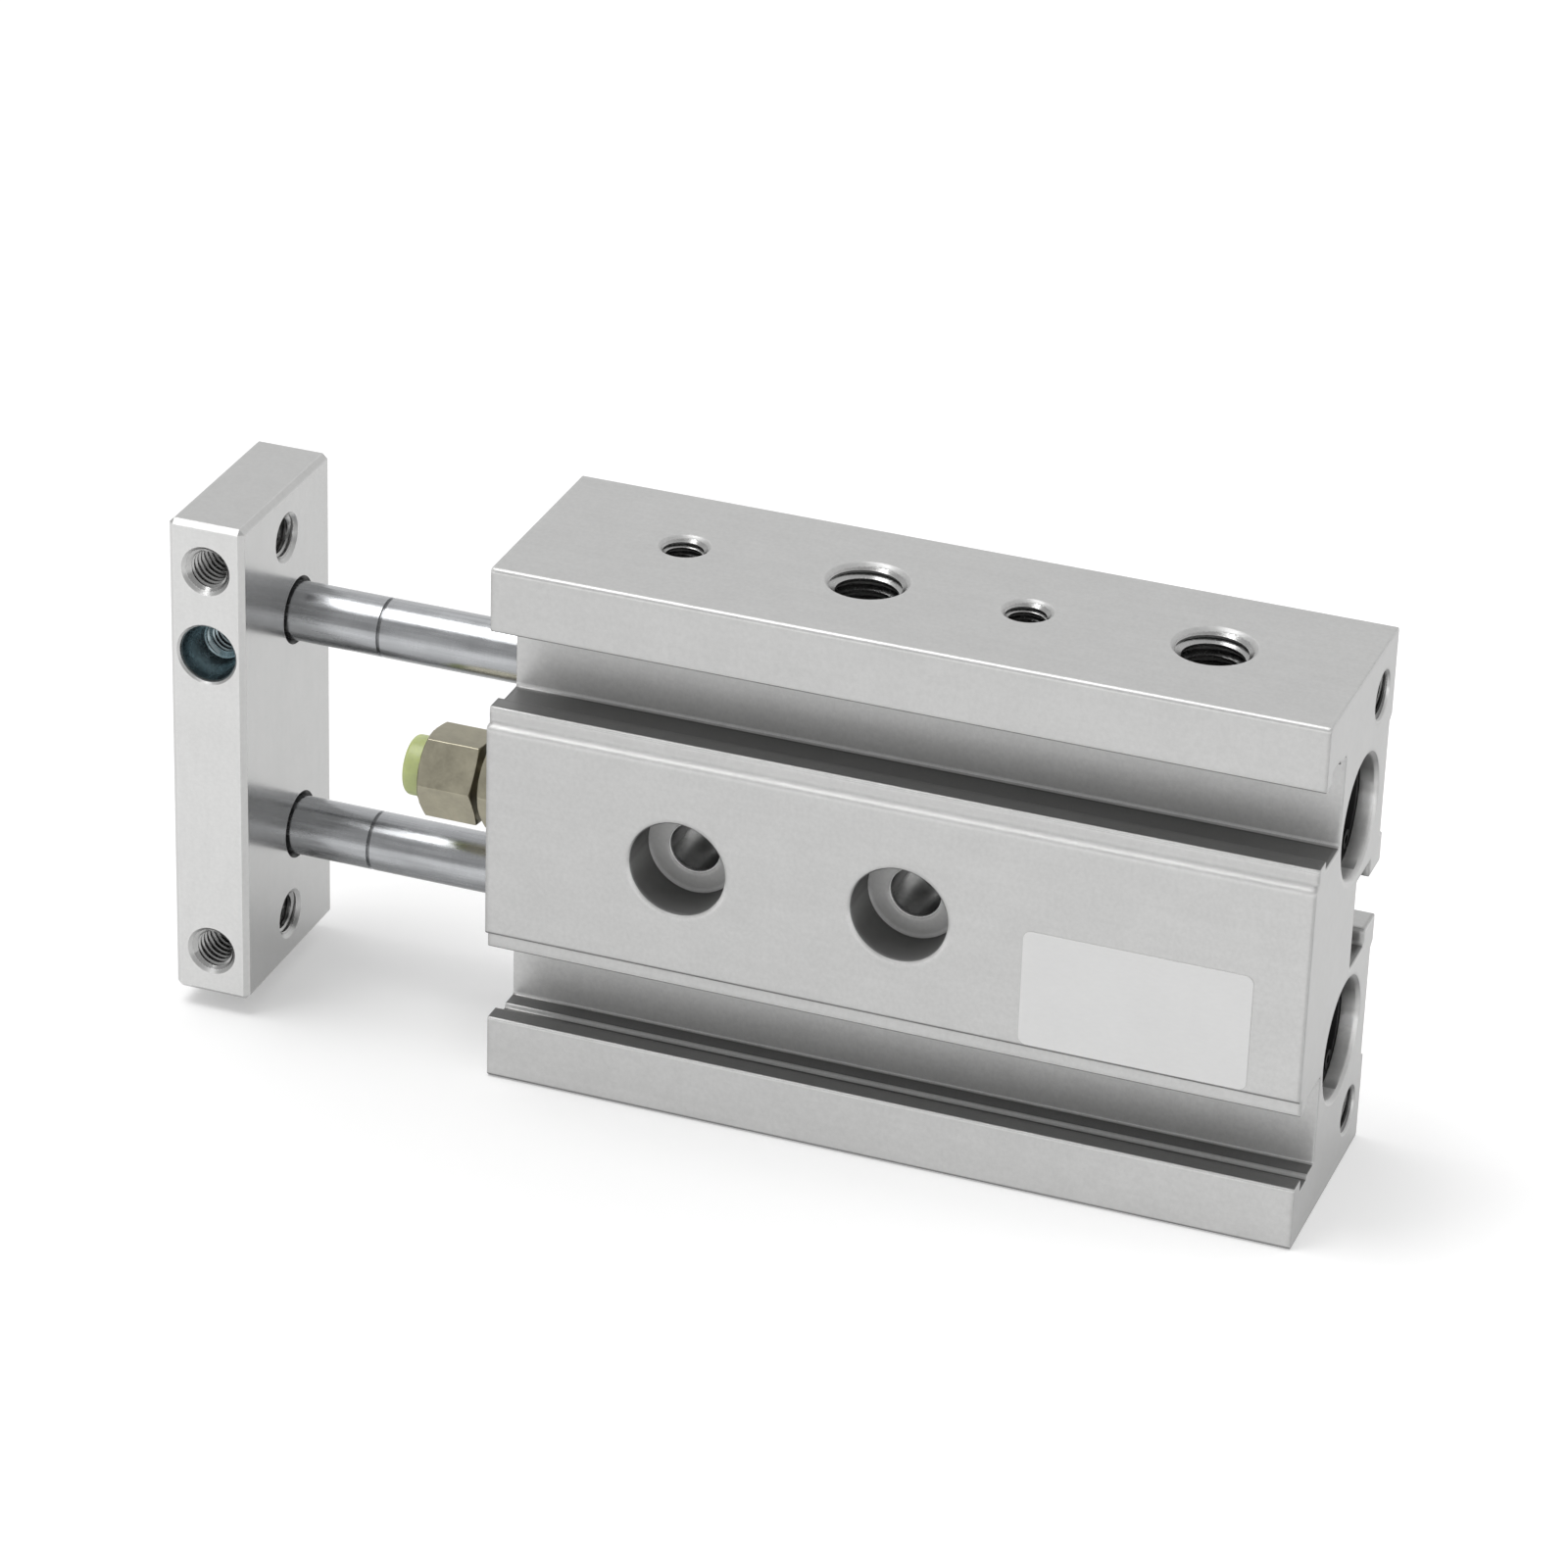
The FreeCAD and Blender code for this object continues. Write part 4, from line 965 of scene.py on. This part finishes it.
class CYLINDER_OT_stage(bpy.types.Operator):
    """Sets the floor, the room's light, the lamp and the camera"""

    bl_idname = "cylinder.stage"
    bl_label = "Stage"

    def execute(self, context):
        studio = context.scene.cylinder_studio
        self.floor(studio)
        self.room(context.scene, studio)
        self.lamp(studio)
        self.camera(context.scene, studio)
        return {"FINISHED"}

    def floor(self, studio):
        """A pale floor that reads as white and keeps the shadow."""
        clear_selection()
        bpy.ops.mesh.primitive_grid_add(x_subdivisions=8, y_subdivisions=8, size=studio.floor_size,
                                        location=(0, 0, CAD_BOX[0].z - 0.02 * MM))
        piece = named("studio_floor")
        apply_place(piece)
        material = bpy.data.materials.new("floor_white")
        material.use_nodes = True
        nodes, links = material.node_tree.nodes, material.node_tree.links
        nodes.clear()
        out = nodes.new("ShaderNodeOutputMaterial")
        diffuse = nodes.new("ShaderNodeBsdfDiffuse")
        diffuse.inputs["Color"].default_value = (*studio.floor_colour, 1)
        glow = nodes.new("ShaderNodeEmission")
        path = nodes.new("ShaderNodeLightPath")
        seen = nodes.new("ShaderNodeMath")
        seen.operation = "MAXIMUM"
        links.new(path.outputs["Is Camera Ray"], seen.inputs[0])
        links.new(path.outputs["Is Glossy Ray"], seen.inputs[1])
        through = nodes.new("ShaderNodeMath")
        through.operation = "MAXIMUM"
        links.new(seen.outputs[0], through.inputs[0])
        links.new(path.outputs["Is Transmission Ray"], through.inputs[1])
        sides = nodes.new("ShaderNodeSeparateXYZ")
        links.new(nodes.new("ShaderNodeTexCoord").outputs["Object"], sides.inputs["Vector"])
        across = nodes.new("ShaderNodeMapRange")
        across.interpolation_type = "SMOOTHSTEP"
        links.new(sides.outputs["X"], across.inputs["Value"])
        for socket, value in (("From Min", CAD_BOX[0].x), ("From Max", CAD_BOX[1].x * 2),
                              ("To Min", studio.glow_left), ("To Max", studio.glow_right)):
            across.inputs[socket].default_value = value
        share = nodes.new("ShaderNodeMath")
        share.operation = "MULTIPLY"
        links.new(through.outputs[0], share.inputs[0])
        links.new(across.outputs["Result"], share.inputs[1])
        links.new(share.outputs[0], glow.inputs["Strength"])
        both = nodes.new("ShaderNodeAddShader")
        links.new(diffuse.outputs[0], both.inputs[0])
        links.new(glow.outputs[0], both.inputs[1])
        links.new(both.outputs[0], out.inputs["Surface"])
        piece.data.materials.append(material)
        clear_selection()

    def room(self, scene, studio):
        """Soft light from all round, paler towards the backdrop than towards the camera."""
        world = bpy.data.worlds.new("studio_room")
        world.use_nodes = True
        nodes, links = world.node_tree.nodes, world.node_tree.links
        sides = nodes.new("ShaderNodeSeparateXYZ")
        links.new(nodes.new("ShaderNodeTexCoord").outputs["Generated"], sides.inputs["Vector"])
        slant = nodes.new("ShaderNodeMath")
        slant.operation = "MULTIPLY_ADD"
        slant.inputs[1].default_value = studio.room_slant
        links.new(sides.outputs["X"], slant.inputs[0])
        links.new(sides.outputs["Y"], slant.inputs[2])
        depth = nodes.new("ShaderNodeMapRange")
        depth.interpolation_type = "SMOOTHSTEP"
        links.new(slant.outputs[0], depth.inputs["Value"])
        for socket, value in (("From Min", ROOM_START), ("From Max", ROOM_END),
                              ("To Min", studio.room_front), ("To Max", studio.room_back)):
            depth.inputs[socket].default_value = value
        back = nodes["Background"]
        back.inputs["Color"].default_value = (1, 1, 1, 1)
        links.new(depth.outputs["Result"], back.inputs["Strength"])
        scene.world = world
        scene.view_settings.view_transform = "Standard"

    def lamp(self, studio):
        """A square soft lamp overhead that points at the middle of the object."""
        middle = (CAD_BOX[0] + CAD_BOX[1]) / 2
        bpy.ops.object.light_add(type="AREA", location=LAMP_PLACE)
        lamp = bpy.context.object
        lamp.name = "overhead_lamp"
        lamp.data.energy = studio.lamp_power
        lamp.data.size = studio.lamp_size
        lamp.rotation_euler = (middle - LAMP_PLACE).to_track_quat("-Z", "Y").to_euler()
        clear_selection()

    def camera(self, scene, studio):
        """The camera at the photograph's viewing angle."""
        bpy.ops.object.camera_add()
        camera = bpy.context.object
        camera.name = "photo_camera"
        camera.data.lens = studio.lens
        camera.data.sensor_width = SENSOR_WIDTH
        camera.data.clip_start = 0.01
        turn = Matrix((CAMERA_RIGHT, CAMERA_UP, CAMERA_BACK)).transposed().to_4x4()
        camera.matrix_world = Matrix.Translation(CAMERA_PLACE) @ turn
        scene.camera = camera
        clear_selection()


class CYLINDER_PT_looks(bpy.types.Panel):
    """Lists the pieces in the sidebar"""

    bl_label = "Double rod cylinder"
    bl_idname = "CYLINDER_PT_looks"
    bl_space_type = "VIEW_3D"
    bl_region_type = "UI"
    bl_category = "Cylinder"

    def draw(self, context):
        layout = self.layout
        for operator in OPERATORS:
            layout.operator(operator.bl_idname)
        for name, kind in GROUPS.items():
            group = getattr(context.scene, name)
            for setting in kind.__annotations__:
                layout.prop(group, setting)


OPERATORS = (
    CYLINDER_OT_barrel, CYLINDER_OT_end_plate, CYLINDER_OT_threads, CYLINDER_OT_rods, CYLINDER_OT_stopper,
    CYLINDER_OT_screws, CYLINDER_OT_inner_pieces, CYLINDER_OT_label, CYLINDER_OT_stage,
)
GROUPS = {
    "cylinder_colours": CylinderColours,
    "cylinder_sizes": CylinderSizes,
    "cylinder_studio": CylinderStudio,
}
CLASSES = (*GROUPS.values(), *OPERATORS, CYLINDER_PT_looks)


def register():
    """Registers the classes and hangs the properties on the scene."""
    for made in CLASSES:
        bpy.utils.register_class(made)
    for name, group in GROUPS.items():
        setattr(bpy.types.Scene, name, bpy.props.PointerProperty(type=group))


def unregister():
    """Takes the properties and the classes away again."""
    for name in GROUPS:
        delattr(bpy.types.Scene, name)
    for made in reversed(CLASSES):
        bpy.utils.unregister_class(made)


def main():
    """Makes every piece in order."""
    register()
    for operator in OPERATORS:
        group, name = operator.bl_idname.split(".")
        getattr(getattr(bpy.ops, group), name)()


if __name__ == "__main__":
    main()
